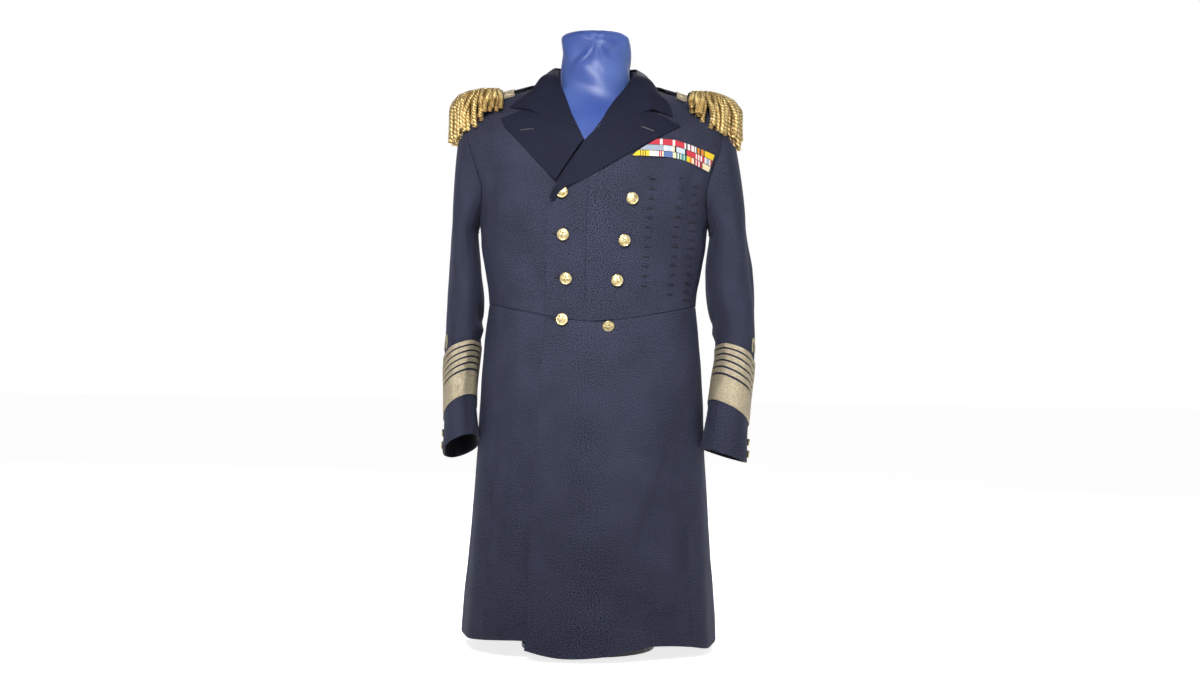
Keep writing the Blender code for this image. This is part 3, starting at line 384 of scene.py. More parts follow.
@dataclass(frozen=True)
class Doeskin(Finish):
    """Doeskin: fine merino wool, milled and raised till the weave is covered by a short lying nap.

    It looks deep and soft, with a faint twill, a slight cloudiness and a pale edge at grazing light.
    """

    deep: str = "#0b0c14"
    lit: str = "#3c3f54"
    nap: str = "#8f97b8"
    sheen: float = 0.1
    clouds: float = 9.0
    fibres: float = 600.0
    twill: float = 100.0
    twill_turn: float = 63.0

    def dress(self, tree: bpy.types.NodeTree) -> None:
        """Cloudy navy, a twill of 3.1 mm and fibres of 1.7 mm, all drawn much coarser than real to show."""
        cloth = cloth_map(tree)
        clouds = add_node(
            tree, "ShaderNodeMath", {0: noise(tree, cloth, self.clouds, 3.0), 1: 0.12}, operation="MULTIPLY"
        )
        fibres = noise(tree, cloth, self.fibres)
        slant = (0, 0, math.radians(self.twill_turn))
        turned = add_node(tree, "ShaderNodeMapping", {"Vector": cloth, "Rotation": slant})
        twill = wave(tree, turned.outputs["Vector"], self.twill, 1.5, 1.0)
        tone = plus(tree, fibres, 0.88, clouds.outputs[0])
        surface(
            tree, Base_Color=ramp(tree, tone, ((0.42, self.deep), (0.58, self.lit))),
            Roughness=between(tree, fibres, 0.74, 0.92),
            Normal=bumped(tree, plus(tree, twill, 0.35, fibres), 0.3, 0.0006),
            Sheen_Weight=self.sheen, Sheen_Roughness=0.45, Sheen_Tint=linear(self.nap),
            Specular_IOR_Level=0.2,
        )


@dataclass(frozen=True)
class Satin(Finish):
    """Satin: long smooth floats of silk or rayon, so light runs along the folds in soft pale bands."""

    # deep and lit are painted shade and painted sheen, which slow patches blend between
    deep: str = "#263a86"
    lit: str = "#5873b4"
    gloss: float = 0.42
    floats: tuple[float, float, float] = (220, 220, 1400)
    slow: float = 8.0

    def dress(self, tree: bpy.types.NodeTree) -> None:
        """Fine horizontal floats of 0.7 mm, drawn coarser than real, and slow patches of painted sheen and
        painted shade.
        """
        place = in_space(tree)
        drawn = add_node(tree, "ShaderNodeMapping", {"Vector": place, "Scale": self.floats})
        floats = noise(tree, drawn.outputs["Vector"], 1.0)
        # slow patches between the deep and the lit colour: painted shade and painted sheen
        colour = ramp(tree, noise(tree, place, self.slow, 1.0), ((0.2, self.deep), (0.8, self.lit)))
        surface(
            tree, Base_Color=colour, Roughness=self.gloss, Normal=bumped(tree, floats, 0.25, 0.0002),
            Anisotropic=0.4, Sheen_Weight=0.3, Sheen_Roughness=0.3,
        )


@dataclass(frozen=True)
class GoldLace(Finish):
    """Gold lace: flattened gilt wire woven over silk in small ribs, dulled to a warm silver with age."""

    bright: str = "#bdb095"
    dull: str = "#7d7259"
    # colour where the weave is low: painted shade in its grooves
    painted_groove_shade: str = "#3c3427"
    ribs: float = 105.0
    basket: float = 430.0
    worn: float = 60.0

    def dress(self, tree: bpy.types.NodeTree) -> None:
        """Ribs 3 mm apart across a basket of 2.3 mm, drawn about twice their real size, with worn patches and
        painted shade where the weave is low.
        """
        cloth = cloth_map(tree)
        cells = add_node(tree, "ShaderNodeTexVoronoi", {"Vector": cloth, "Scale": self.basket})
        woven = plus(tree, wave(tree, cloth, self.ribs, 2.0, 1.0), 0.6, cells.outputs["Distance"])
        tone = plus(tree, noise(tree, cloth, self.worn, 3.0), 0.55, woven)
        # low parts of the weave take the painted groove shade
        colour = ramp(tree, tone, ((0.35, self.painted_groove_shade), (0.6, self.dull), (1.0, self.bright)))
        surface(
            tree, Base_Color=colour, Metallic=0.5, Roughness=0.5, Normal=bumped(tree, woven, 0.9, 0.0008)
        )


@dataclass(frozen=True)
class GiltMetal(Finish):
    """Gilt brass or gilt wire: a warm yellow metal, bright where it is rubbed and brown in its hollows."""

    bright: str = "#ecdcab"
    dull: str = "#b29a62"
    gloss: float = 0.34
    grain: float = 240.0

    def dress(self, tree: bpy.types.NodeTree) -> None:
        """Small tarnish spots of about 4 mm, in the colour, the gloss and the bump."""
        spots = noise(tree, in_space(tree), self.grain, 5.0)
        surface(
            tree, Base_Color=ramp(tree, spots, ((0.34, self.dull), (0.62, self.bright))), Metallic=1.0,
            Roughness=between(tree, spots, self.gloss + 0.16, self.gloss - 0.06),
            Normal=bumped(tree, spots, 0.15, 0.0003),
        )


@dataclass(frozen=True)
class Bullion(Finish):
    """Bullion: springs of fine gilt wire, twisted together, with a painted highlight on the coils and painted
    shade between them.
    """

    # bright on the coils is a painted highlight, and hollow between them is painted shade
    bright: str = "#fbe3a4"
    dull: str = "#c09a58"
    hollow: str = "#3c2b14"
    wire: float = 900.0

    def dress(self, tree: bpy.types.NodeTree) -> None:
        """Painted highlight and shade from the mesh's coil values, with wire of 1.1 mm, drawn more than twice
        its real size.
        """
        coil = add_node(tree, "ShaderNodeAttribute", attribute_name="coil").outputs["Fac"]
        wire = noise(tree, in_space(tree), self.wire)
        # the coil values paint a highlight on each coil and shade between the coils
        colour = ramp(
            tree, plus(tree, wire, 0.55, coil), ((0.3, self.hollow), (0.62, self.dull), (1.0, self.bright))
        )
        surface(
            tree, Base_Color=colour, Metallic=0.85, Roughness=0.3, Normal=bumped(tree, wire, 0.8, 0.0012)
        )


class Stripe(NamedTuple):
    """One stripe of a row of ribbons: its colour and where it ends, in millimetres across the coat."""

    colour: str
    end: float


@dataclass(frozen=True)
class RibbonSilk(Finish):
    """Watered ribbon silk: fine upright ribs, plain stripes woven along its length, and a dark edge at its
    top and bottom that is painted shade between the rows.
    """

    start: float
    stripes: tuple[Stripe, ...]
    # the edge colour is painted shade where the rows meet
    edge: str = "#17151a"
    # share of the row's height that each dark edge of painted shade takes
    painted_shade_share: float = 0.03
    ribs: float = 40.0

    def dress(self, tree: bpy.types.NodeTree) -> None:
        """Stripes at their places in the row, ribs about 1 mm apart and a thin dark edge of painted shade."""
        place = add_node(tree, "ShaderNodeUVMap", uv_map="row").outputs["UV"]
        parts = add_node(tree, "ShaderNodeSeparateXYZ", {"Vector": place})
        width = self.stripes[-1].end - self.start
        starts = (self.start, *(stripe.end for stripe in self.stripes[:-1]))
        stops = [((at - self.start) / width, stripe.colour) for at, stripe in zip(starts, self.stripes)]
        silk = ramp(tree, parts.outputs["X"], stops, stepped=True)
        # dark edge along the row's top and bottom: painted shade between the rows
        painted_shade_rims = ((0, "#000000"), (self.painted_shade_share, "#ffffff"), (1 - self.painted_shade_share, "#000000"))
        rim = ramp(tree, parts.outputs["Y"], painted_shade_rims, stepped=True)
        mixed = add_node(
            tree, "ShaderNodeMix", {"Factor": rim, 6: linear(self.edge), 7: silk}, data_type="RGBA"
        )
        surface(
            tree, Base_Color=mixed.outputs[2], Roughness=0.6,
            Normal=bumped(tree, wave(tree, place, self.ribs), 0.3, 0.0003), Sheen_Weight=0.2,
            Specular_IOR_Level=0.3,
        )


@dataclass(frozen=True)
class Thread(Finish):
    """Twisted silk buttonhole thread: a hard, slightly shiny cord."""

    colour: str = "#0e0f16"
    rise: int = 22
    twist: float = 200.0

    def dress(self, tree: bpy.types.NodeTree) -> None:
        """Twist of 1.6 mm, drawn about twice its real size."""
        place = in_space(tree)
        channels = (int(self.colour[at:at + 2], 16) + self.rise for at in (1, 3, 5))
        lighter = "#" + "".join(f"{min(channel, 255):02x}" for channel in channels)
        surface(
            tree, Base_Color=ramp(tree, noise(tree, place, 300.0), ((0.35, self.colour), (0.7, lighter))),
            Roughness=0.55, Normal=bumped(tree, wave(tree, place, self.twist, 3.0), 0.4, 0.0003),
        )


@dataclass(frozen=True)
class PaintedSteel(Finish):
    """Powder-coated steel: a dark, even coat with a fine orange-peel skin."""

    colour: str = "#26272b"
    lit: str = "#303136"
    peel: float = 650.0

    def dress(self, tree: bpy.types.NodeTree) -> None:
        """Orange peel of 1.5 mm and a slight change of gloss."""
        place = in_space(tree)
        slow = noise(tree, place, 30.0)
        surface(
            tree, Base_Color=ramp(tree, slow, ((0.3, self.colour), (0.7, self.lit))),
            Roughness=between(tree, slow, 0.35, 0.5),
            Normal=bumped(tree, noise(tree, place, self.peel), 0.2, 0.0003),
        )


WOOL = Doeskin("navy_doeskin_wool")
# a darker copy of the coat's wool, for the lapels and the collar's fall: painted shade
SHADED_COLLAR_AND_LAPEL_WOOL = Doeskin("lapel_doeskin_wool", deep="#07080f", lit="#1e2239", sheen=0.03)
STRAP_WOOL = Doeskin("black_strap_felt", deep="#08090d", lit="#101117", sheen=0.12)
LINING = Satin("black_lining_satin", deep="#0a0b10", lit="#14161f", gloss=0.45)
BLUE_SATIN = Satin("blue_satin")
LACE = GoldLace("tarnished_gold_lace")
BULLION = Bullion("twisted_gold_bullion")
GILT = GiltMetal("gilt_brass_button")
DARK_THREAD = Thread("navy_silk_thread")
GREY_THREAD = Thread("faded_buttonhole_thread", colour="#4a4648")
STEEL = PaintedSteel("powder_coated_steel")


# Shapes that the pieces lie on


@dataclass
class CoatShape:
    """The coat's body as one smooth surface, with the lines on it that its pieces are cut along."""

    roundness: float = 2.35
    roll_start: float = 900.0
    roll_reach: float = 150.0
    neck_point: tuple[float, float] = (76.0, 1060.0)
    slope: float = 0.284
    neck_ease: float = 20.0
    waist_low: float = 609.0
    waist_rise: float = 32.0
    waist_width: float = 194.0
    arm_angle: float = 58.0
    arm_bottom: float = 797.0
    arm_round: float = 88.0
    arm_steps: int = 20
    # height, half width, depth in front, depth behind
    levels: tuple[tuple[float, ...], ...] = (
        (0, 240, 191, 169), (86, 235, 186, 164), (180, 227, 178, 156), (275, 220, 168, 147),
        (369, 214, 158, 139), (464, 210, 147, 129), (558, 203, 137, 114), (609, 198, 131, 100),
        (650, 194, 128, 95), (709, 204, 134, 102), (752, 211, 140, 110), (794, 214, 145, 117),
        (850, 232, 148, 121), (900, 254, 146, 122), (950, 268, 141, 119), (1000, 273, 134, 113),
        (1060, 275, 124, 105),
    )
    # angle, spread, depth
    folds: tuple[tuple[float, ...], ...] = (
        (-150, 9, 9), (-126, 8, -8), (-104, 8, 8), (-80, 7, -5), (78, 7, -4), (100, 8, 8), (123, 8, -8),
        (148, 9, 9), (40, 9, -3), (12, 10, 4),
    )

    @property
    def ridge(self) -> float:
        """Climb of the shoulder seam."""
        return self.roll_start + self.roll_reach * math.pi / 2

    def shoulder_height(self, x: float) -> float:
        """Height of the shoulder seam at a distance from the middle."""
        past = abs(x) - self.neck_point[0]
        return self.neck_point[1] - self.slope * (past + math.hypot(past, self.neck_ease)) / 2

    def point(
        self, spot: Vector, levels: Sequence[tuple[float, ...]] | None = None, drop: float = 0.0
    ) -> Vector:
        """Point of the coat's outer face, or of the form's when its own levels are given."""
        angle, climb = spot
        turn = max(climb - self.roll_start, 0.0) / self.roll_reach
        level = climb if turn == 0 else self.roll_start + self.roll_reach * math.sin(turn)
        rows = levels or self.levels
        around, ahead = math.sin(math.radians(angle)), math.cos(math.radians(angle))
        x = through(rows, level, 1) * signed_power(around, 2 / self.roundness)
        deep = through(rows, level, 2 if ahead > 0 else 3)
        y = -deep * signed_power(ahead, 2 / self.roundness) * math.cos(turn)
        z = climb
        if turn:
            z = self.roll_start + (self.shoulder_height(x) - drop - self.roll_start) * math.sin(turn)
        found = Vector((x, y, z))
        if levels is None and climb < self.waist_low:
            fall = ease((self.waist_low - climb) / self.waist_low)
            push = sum(depth * math.exp(-(((angle - at) / spread) ** 2)) for at, spread, depth in self.folds)
            found += Vector((x, y, 0)).normalized() * fall * push
        return found

    def place(self, spot: Vector, lift: float = 0.0) -> Vector:
        """Point above the coat's surface."""
        angle, climb = spot
        across = self.point((angle + 0.5, climb)) - self.point((angle - 0.5, climb))
        up = self.point((angle, climb + 1)) - self.point((angle, climb - 1))
        return self.point(spot) + across.cross(up).normalized() * lift

    def spot_at(self, x: float, height: float, behind: bool = False) -> Vector:
        """Spot that has this x and height, seen from the front or from behind."""
        climb = level = height
        if height > self.roll_start:
            share = min((height - self.roll_start) / (self.shoulder_height(x) - self.roll_start), 1.0)
            climb = self.roll_start + self.roll_reach * math.asin(share)
            level = self.roll_start + self.roll_reach * share
        share = min(abs(x) / through(self.levels, level, 1), 1.0)
        angle = math.degrees(math.asin(share ** (self.roundness / 2)))
        return Vector((math.copysign(180 - angle if behind else angle, x), climb))

    def spot_over(self, x: float, y: float) -> Vector:
        """Spot on the shoulder at this x and y."""
        level = self.roll_start + 0.9 * self.roll_reach
        share = abs(x) / through(self.levels, level, 1)
        deep = through(self.levels, level, 3 if y > 0 else 2)
        deep *= (1 - share ** self.roundness) ** (1 / self.roundness)
        angle = math.degrees(math.asin(share ** (self.roundness / 2)))
        climb = self.roll_start + self.roll_reach * math.acos(min(abs(y) / deep, 1.0))
        return Vector((math.copysign(180 - angle if y > 0 else angle, x), climb))

    def line(self, points: Sequence[tuple[float, float]], steps: int, behind: bool = False) -> Spots:
        """Spots, evenly apart, on a smooth line through points given as x and height."""
        corners = [Vector(point) for point in points]
        fine = [self.spot_at(*spline(corners, index / 80), behind) for index in range(81)]
        places = [self.point(spot) for spot in fine]
        run = [0.0]
        for before, after in zip(places, places[1:]):
            run.append(run[-1] + (after - before).length)
        spots = []
        for share in even(steps):
            goal = run[-1] * share
            place = next(at for at in range(1, len(run)) if run[at] >= goal - 1e-9)
            part = (goal - run[place - 1]) / (run[place] - run[place - 1])
            spots.append(fine[place - 1].lerp(fine[place], part))
        return spots

    def waist(self, angle: float) -> float:
        """Height of the waist seam at an angle."""
        x = abs(self.point((angle, self.waist_low + self.waist_rise / 2)).x)
        if abs(angle) < 90:
            return self.waist_low + self.waist_rise * min(x / self.waist_width, 1.0) ** 1.3
        return self.waist_low + self.waist_rise + 4 * (1 - x / self.waist_width)

    def along_waist(self, start: float, end: float, shares: Sequence[float], drop: float = 0.0) -> Spots:
        """Spots on the waist seam between two angles."""
        angles = [start + (end - start) * share for share in shares]
        return [Vector((angle, self.waist(angle) - drop)) for angle in angles]

    def armhole(self, step: float, side: int = 1) -> Vector:
        """Spot at a step round the armhole: 0 at the shoulder seam, then down the front, up the back."""
        quarter = self.arm_steps / 4
        behind = step == self.arm_steps or step % self.arm_steps > self.arm_steps / 2
        step = step % self.arm_steps
        step = min(step, self.arm_steps - step)
        high = self.arm_bottom + self.arm_round
        if step <= quarter:
            angle, climb = self.arm_angle, self.ridge + (high - self.ridge) * (step / quarter) ** 1.25
        else:
            turn = math.pi / 2 * (step - quarter) / quarter
            angle = self.arm_angle + (90 - self.arm_angle) * (1 - math.cos(turn))
            climb = high - self.arm_round * math.sin(turn)
        return Vector((side * (180 - angle if behind else angle), climb))


SHAPE = CoatShape()


class Side(Enum):
    """Which side of the wearer a piece is on."""

    LEFT = 1
    RIGHT = -1

    @property
    def label(self) -> str:
        """The side's name in the nodes' names."""
        return self.name.lower()

    def mirror(self, spots: Spots) -> Spots:
        """Spots of the left side, on this side."""
        return [Vector((self.value * spot.x, spot.y)) for spot in spots]


def flat(height: float = 0.0) -> Lift:
    """Lift that is the same all over a piece."""
    return lambda spot, u, v: height


def facing(grid: np.ndarray, out: Sequence[float]) -> np.ndarray:
    """The grid, turned round if its middle faces away from a direction."""
    middle = grid.shape[0] // 2, grid.shape[1] // 2
    return grid if float(normals(grid)[middle] @ np.array(out)) > 0 else grid[:, ::-1]


# Cloth


@dataclass
class Shell:
    """One piece of cloth: a grid primitive laid on a surface, with thickness, lining and rounded edges."""

    name: str
    grid: np.ndarray
    finish: Finish
    thickness: float = 2.5
    gap: float = 0.15
    edge: float = 0.7
    lining: Finish | None = None
    slot: str = "navy_wool"

    def trimmed(self) -> np.ndarray:
        """The grid with its rim drawn in by half a seam gap."""
        grid = self.grid.copy()
        for target, inner in ((np.s_[:, 0], np.s_[:, 1]), (np.s_[:, -1], np.s_[:, -2]),
                              (np.s_[0], np.s_[1]), (np.s_[-1], np.s_[-2])):
            run = self.grid[inner] - self.grid[target]
            length = np.maximum(np.linalg.norm(run, axis=-1, keepdims=True), 1e-6)
            grid[target] += run / length * self.gap
        return grid

    def cut_size(self) -> tuple[float, float, float]:
        """Flat width, length and area of the cut in metres, measured on the grid."""
        across = np.linalg.norm(np.diff(self.grid, axis=1), axis=2)
        up = np.linalg.norm(np.diff(self.grid, axis=0), axis=2)
        diagonals = self.grid[1:, 1:] - self.grid[:-1, :-1], self.grid[1:, :-1] - self.grid[:-1, 1:]
        area = np.linalg.norm(np.cross(*diagonals), axis=2).sum() / 2 * MM * MM
        width, length = across.sum(1).max() * MM, up.sum(0).max() * MM
        if area < TAPERED * width * length:
            width = 2 * area / length
        return max(width, LEAST_SIDE), max(length, LEAST_SIDE), area

    def sew(self, node: str = "") -> bpy.types.Object:
        """Args:
            node: The node whose place it takes, if it takes one.

        Returns:
            The finished object.
        """
        piece = self.make()
        if node:
            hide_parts(node)
        width, length, area = self.cut_size()
        area = min(max(area, LEAST_FILL * width * length), width * length)
        log.info("%s: %d faces", piece.name, len(piece.data.polygons))
        return piece

    def make(self) -> bpy.types.Object:
        """Builds the piece, which rides on the root."""
        grid = self.trimmed()
        rows, columns = grid.shape[:2]
        bpy.ops.object.select_all(action="DESELECT")
        bpy.ops.mesh.primitive_grid_add(x_subdivisions=columns - 1, y_subdivisions=rows - 1, size=1)
        piece = bpy.context.object
        piece.name = piece.data.name = self.name
        mesh = piece.data
        points = np.empty(len(mesh.vertices) * 3)
        mesh.vertices.foreach_get("co", points)
        points = points.reshape(-1, 3)
        column = np.rint((points[:, 0] + 0.5) * (columns - 1)).astype(int)
        row = np.rint((points[:, 1] + 0.5) * (rows - 1)).astype(int)
        mesh.vertices.foreach_set("co", (grid[row, column] * MM).ravel())
        width, length = self.cut_size()[:2]
        loops = np.empty(len(mesh.loops), dtype=np.int32)
        mesh.loops.foreach_get("vertex_index", loops)
        spread = np.stack([column[loops] / (columns - 1) * width, row[loops] / (rows - 1) * length], 1)
        layer = mesh.uv_layers[0] if mesh.uv_layers else mesh.uv_layers.new()
        layer.name = "cloth"
        layer.uv.foreach_set("vector", spread.ravel())
        mesh.materials.append(self.finish.make())
        if self.lining:
            mesh.materials.append(self.lining.make())
        mesh.update()
        wall = piece.modifiers.new("wall", "SOLIDIFY")
        wall.thickness, wall.offset = self.thickness * MM, -1
        wall.material_offset = 1 if self.lining else 0
        if self.edge:
            soft = piece.modifiers.new("soft_edge", "BEVEL")
            soft.width, soft.segments, soft.limit_method = self.edge * MM, 2, "ANGLE"
            soft.angle_limit = math.radians(55)
            soft.use_clamp_overlap = True
        for modifier in list(piece.modifiers):
            bpy.ops.object.modifier_apply(modifier=modifier.name)
        bpy.ops.object.shade_smooth_by_angle(angle=math.radians(50))
        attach(piece, "root")
        return piece


def laid(rows: list[Spots], place: Place, lift: Lift) -> np.ndarray:
    """Points of a grid of spots, each raised by its own lift.

    Args:
        rows: The spots, from below.
        place: Gives a point for a spot and a lift.
        lift: Gives the lift for a spot and its shares across and up.

    Returns:
        The points as rows, columns, 3.
    """
    up, across = len(rows) - 1, len(rows[0]) - 1
    return np.array([
        [place(spot, lift(spot, c / across, r / up)) for c, spot in enumerate(row)]
        for r, row in enumerate(rows)
    ])


def facing_out(grid: np.ndarray, place: Place, rows: list[Spots]) -> np.ndarray:
    """The grid, turned round if its faces would point into the coat."""
    row, column = len(rows) // 2, len(rows[0]) // 2
    spot = rows[row][column]
    out = np.array(place(spot, 1.0) - place(spot, 0.0))
    step_row = (grid.shape[0] - 1) // (len(rows) - 1)
    step_column = (grid.shape[1] - 1) // (len(rows[0]) - 1)
    normal = normals(grid)[row * step_row, column * step_column]
    return grid if float(normal @ out) > 0 else grid[:, ::-1]


@dataclass
class Cut:
    """Pattern piece on the coat: its coarse spots, how finely they are drawn, and what folds it has."""

    name: str
    rows: list[Spots]
    place: Place
    lift: Lift
    fine: tuple[int, int] = (7, 7)
    breaks: tuple[tuple[int, ...], tuple[int, ...]] = ((), ())
    creases: tuple[Crease, ...] = ()
    uneven: float = 0.0
    seed: int = 1

    def grid(self) -> np.ndarray:
        """Fine points of the piece's outer face."""
        grid = laid(self.rows, self.place, self.lift)
        grid = refine(grid, 0, self.fine[0], self.breaks[0])
        grid = refine(grid, 1, self.fine[1], self.breaks[1])
        grid = facing_out(grid, self.place, self.rows)
        x, z = grid[:, :, 0], grid[:, :, 2]
        in_front = 1 - np.vectorize(ease)((grid[:, :, 1] + 30) / 40)
        lift = crease_heights(x, z, self.creases) * in_front
        if self.uneven:
            lift += ripples(x + grid[:, :, 1] * 0.6, z, self.uneven, self.seed)
        return grid + normals(grid) * lift[:, :, None]


def hang(
    cut: Cut, finish: Finish, lining: Finish | None = None,
    thickness: float = 2.5, gap: float = 0.1, edge: float = 0.45, slot: str = "navy_wool",
) -> bpy.types.Object:
    """Makes a cut piece, which takes its node's place.

    Args:
        cut: The pattern piece. Its name is its node's name.
        finish: What it is made of.
        lining: What its inner face shows.
        thickness: The cloth's thickness.
        gap: How far its rim is drawn in.
        edge: How far its edges are rounded.
        slot: A slot name, which the shell keeps but does not use.

    Returns:
        The finished object.
    """
    shell = Shell(f"{cut.name}_cloth", cut.grid(), finish, thickness, gap, edge, lining, slot)
    return shell.sew(cut.name)


@dataclass
class CoatBody:
    """Fronts, the left front's buttoning strip, side bodies, backs and the skirt."""

    over_edge: tuple = ((-88, 609), (-86, 700), (-85, 765), (-79, 825))
    over_roll: tuple = ((-79, 825), (-65, 861), (-16, 935), (-8, 947))
    over_roll_top: tuple = ((-8, 947), (25, 996), (52, 1034), (75, 1060))
    strip_seam: tuple = ((-15, 609), (-13, 765), (-10, 865), (-8, 947))
    under_edge: tuple = (
        (66, 609), (60, 700), (45, 800), (20, 861), (-16, 935), (-46, 996), (-64, 1032), (-75, 1060),
    )
    over_skirt_edge: tuple = ((-113, 20), (-104, 250), (-96, 430), (-88, 609))
    under_skirt_edge: tuple = ((-70, 30), (-68, 300), (-66, 609))
    skirt_seam: tuple = ((190, 20), (182, 180), (176, 330), (170, 480), (164, 636))
    side_back: tuple = ((48, 645), (60, 700), (84, 770), (130, 830), (180, 868))
    back_edge: tuple = ((82, 20), (74, 200), (62, 400), (48, 645))
    back_neck: tuple = ((0.01, 1044), (40, 1048), (75, 1060))
    under_hem: tuple = (
        (-180, 20), (-120, 19), (-90, 25), (-62, 27), (-42, 33), (-30, 36), (-20, 36), (0, 34), (30, 30),
    )
    over_hem: tuple = (
        (-35, 24), (-26, 21), (-15, 12), (-5, 8), (6, 14), (22, 29), (45, 25), (68, 13), (90, 16),
        (130, 19), (180, 20),
    )
    body_rows: int = 6
    skirt_rows: int = 9
    underlap: float = 4.0
    # where the vent ends, how far the left back reaches over it, and how much lower the right back lies
    vent_top: float = 628.0
    vent_lap: float = 18.0
    vent_drop: float = 4.8
    # share of a skirt side past which it is tucked, by how many degrees, and how far past the back's edge
    pleat_from: float = 7.5 / 9
    pleat_turn: float = 6.1
    pleat_past: float = 3.6
    # angles from which and to which the stay tape runs, its half width and how far inside it lies
    stay: tuple[float, float] = (48.0, 176.0)
    stay_half: float = 7.0
    stay_lift: float = -2.7

    def over_edge_x(self, height: float) -> float:
        """X of the over front's edge at a height."""
        rows = self.over_edge + self.over_roll[1:] + self.over_roll_top[1:]
        rows = self.over_skirt_edge if height < SHAPE.waist_low else rows
        low = max((row for row in rows if row[1] <= height), default=rows[0], key=lambda row: row[1])
        high = min((row for row in rows if row[1] > height), default=rows[-1], key=lambda row: row[1])
        if low[1] == high[1]:
            return low[0]
        return low[0] + (high[0] - low[0]) * (height - low[1]) / (high[1] - low[1])

    def under_lift(self, spot: Vector, u: float, v: float) -> float:
        """The under front runs beneath the over front, one layer of cloth lower."""
        point = SHAPE.point(spot)
        return -self.underlap * ease((point.x - self.over_edge_x(point.z) + 46) / 30)

    def vent_lift(self, spot: Vector, u: float, v: float) -> float:
        """The right back runs beneath the left one along the vent."""
        point = SHAPE.point(spot)
        return -self.vent_drop * ease((point.x + 32) / 8) * ease((708 - point.z) / 40)

    def pleat_lift(self, spot: Vector, u: float, v: float) -> float:
        """The skirt's rearmost column tucks beneath the back as a side pleat."""
        return -self.underlap if u > self.pleat_from else 0.0

    def front_creases(self, side: Side) -> tuple[Crease, ...]:
        """Soft folds of a front, seen from the front."""
        if side is Side.LEFT:
            return (
                Crease(((188, 902), (178, 850), (176, 780), (170, 700)), -3.0, 9),
                Crease(((160, 890), (152, 830), (150, 760)), 2.0, 16),
                Crease(((80, 822), (120, 842), (160, 880)), 1.6, 10),
                Crease(((66, 748), (112, 742), (160, 752)), -1.2, 9),
                Crease(((54, 676), (100, 662), (150, 668)), -1.2, 9),
                Crease(((40, 600), (30, 640), (24, 690)), 1.0, 9),
            )
        return (
            Crease(((-190, 905), (-186, 850), (-184, 790), (-176, 700)), -2.6, 8),
            Crease(((-88, 765), (-120, 775), (-160, 800)), 1.5, 10),
            Crease(((-88, 690), (-125, 680), (-165, 690)), -1.3, 10),
            Crease(((-88, 615), (-125, 632), (-160, 640)), 1.3, 9),
        )

    def skirt_creases(self, side: Side) -> tuple[Crease, ...]:
        """Soft folds of a skirt front, seen from the front."""
        if side is Side.LEFT:
            return (
                Crease(((136, 387), (112, 330), (84, 265), (60, 195)), 8.0, 17),
                Crease(((150, 395), (128, 330), (104, 262), (84, 205)), -6.0, 12),
                Crease(((-82, 179), (-40, 152), (28, 139), (96, 132), (152, 128)), -5.0, 12),
                Crease(((-76, 196), (-36, 170), (28, 158), (92, 150)), 6.0, 12),
                Crease(((162, 312), (184, 298)), -4.5, 7),
                Crease(((94, 84), (130, 92), (166, 103)), -5.0, 9),
                Crease(((-60, 590), (-50, 480), (-58, 330)), 1.8, 22),
                Crease(((60, 600), (84, 500), (92, 420)), 1.8, 20),
            )
        return (
            Crease(((-130, 600), (-136, 450), (-142, 300), (-150, 100)), 2.2, 18),
            Crease(((-100, 420), (-112, 280), (-118, 120)), -2.0, 14),
            Crease(((-170, 380), (-176, 250), (-182, 90)), -2.0, 12),
        )

    def make_fronts_and_backs(self) -> None:
        """Makes the pieces above the waist, and the backs that run on down to the hem."""
        underarm, shoulder = SHAPE.armhole(8), SHAPE.armhole(0)
        neck_spot = SHAPE.spot_at(*self.back_neck[-1])
        waist_at = Vector((underarm.x, SHAPE.waist(underarm.x)))
        loop = [SHAPE.armhole(step) for step in range(21)]
        for side in Side:
            outer = straight(waist_at, underarm, self.body_rows)[:-1] + loop[8::-1]
            rows = len(outer) - 1
            if side is Side.LEFT:
                seam = SHAPE.line(self.strip_seam, rows * 2 // 3)
                inner = seam[:-1] + SHAPE.line(self.over_roll_top, rows - len(seam) + 1)
                corner = (len(seam) - 1,)
            else:
                inner, corner = side.mirror(SHAPE.line(self.under_edge, rows)), ()
            top = straight(neck_spot, shoulder, 8)
            bottom = SHAPE.along_waist(inner[0].x, outer[0].x, even(8))
            inner[0], inner[-1] = bottom[0], top[0]
            spots = [side.mirror(row) for row in coons(bottom, top, inner, outer)]
            hang(
                Cut(
                    f"front_{side.label}", spots, SHAPE.place,
                    flat() if side is Side.LEFT else self.under_lift, (6, 7),
                    (tuple(sorted({self.body_rows, *corner})), ()), self.front_creases(side), 0.4, 3,
                ),
                WOOL, lining=LINING,
            )

            back_low = SHAPE.line(self.side_back, self.body_rows, behind=True)
            back_low[-1] = SHAPE.armhole(15)
            waist = SHAPE.along_waist(underarm.x, back_low[0].x, even(7))
            back_low[0] = waist[-1]
            spots = coons(waist, loop[8:16], straight(waist_at, underarm, self.body_rows), back_low)
            hang(
                Cut(
                    f"side_{side.label}", [side.mirror(row) for row in spots], SHAPE.place, flat(), (7, 6),
                    creases=self.front_creases(side), uneven=0.4, seed=3,
                ),
                WOOL, lining=LINING,
            )

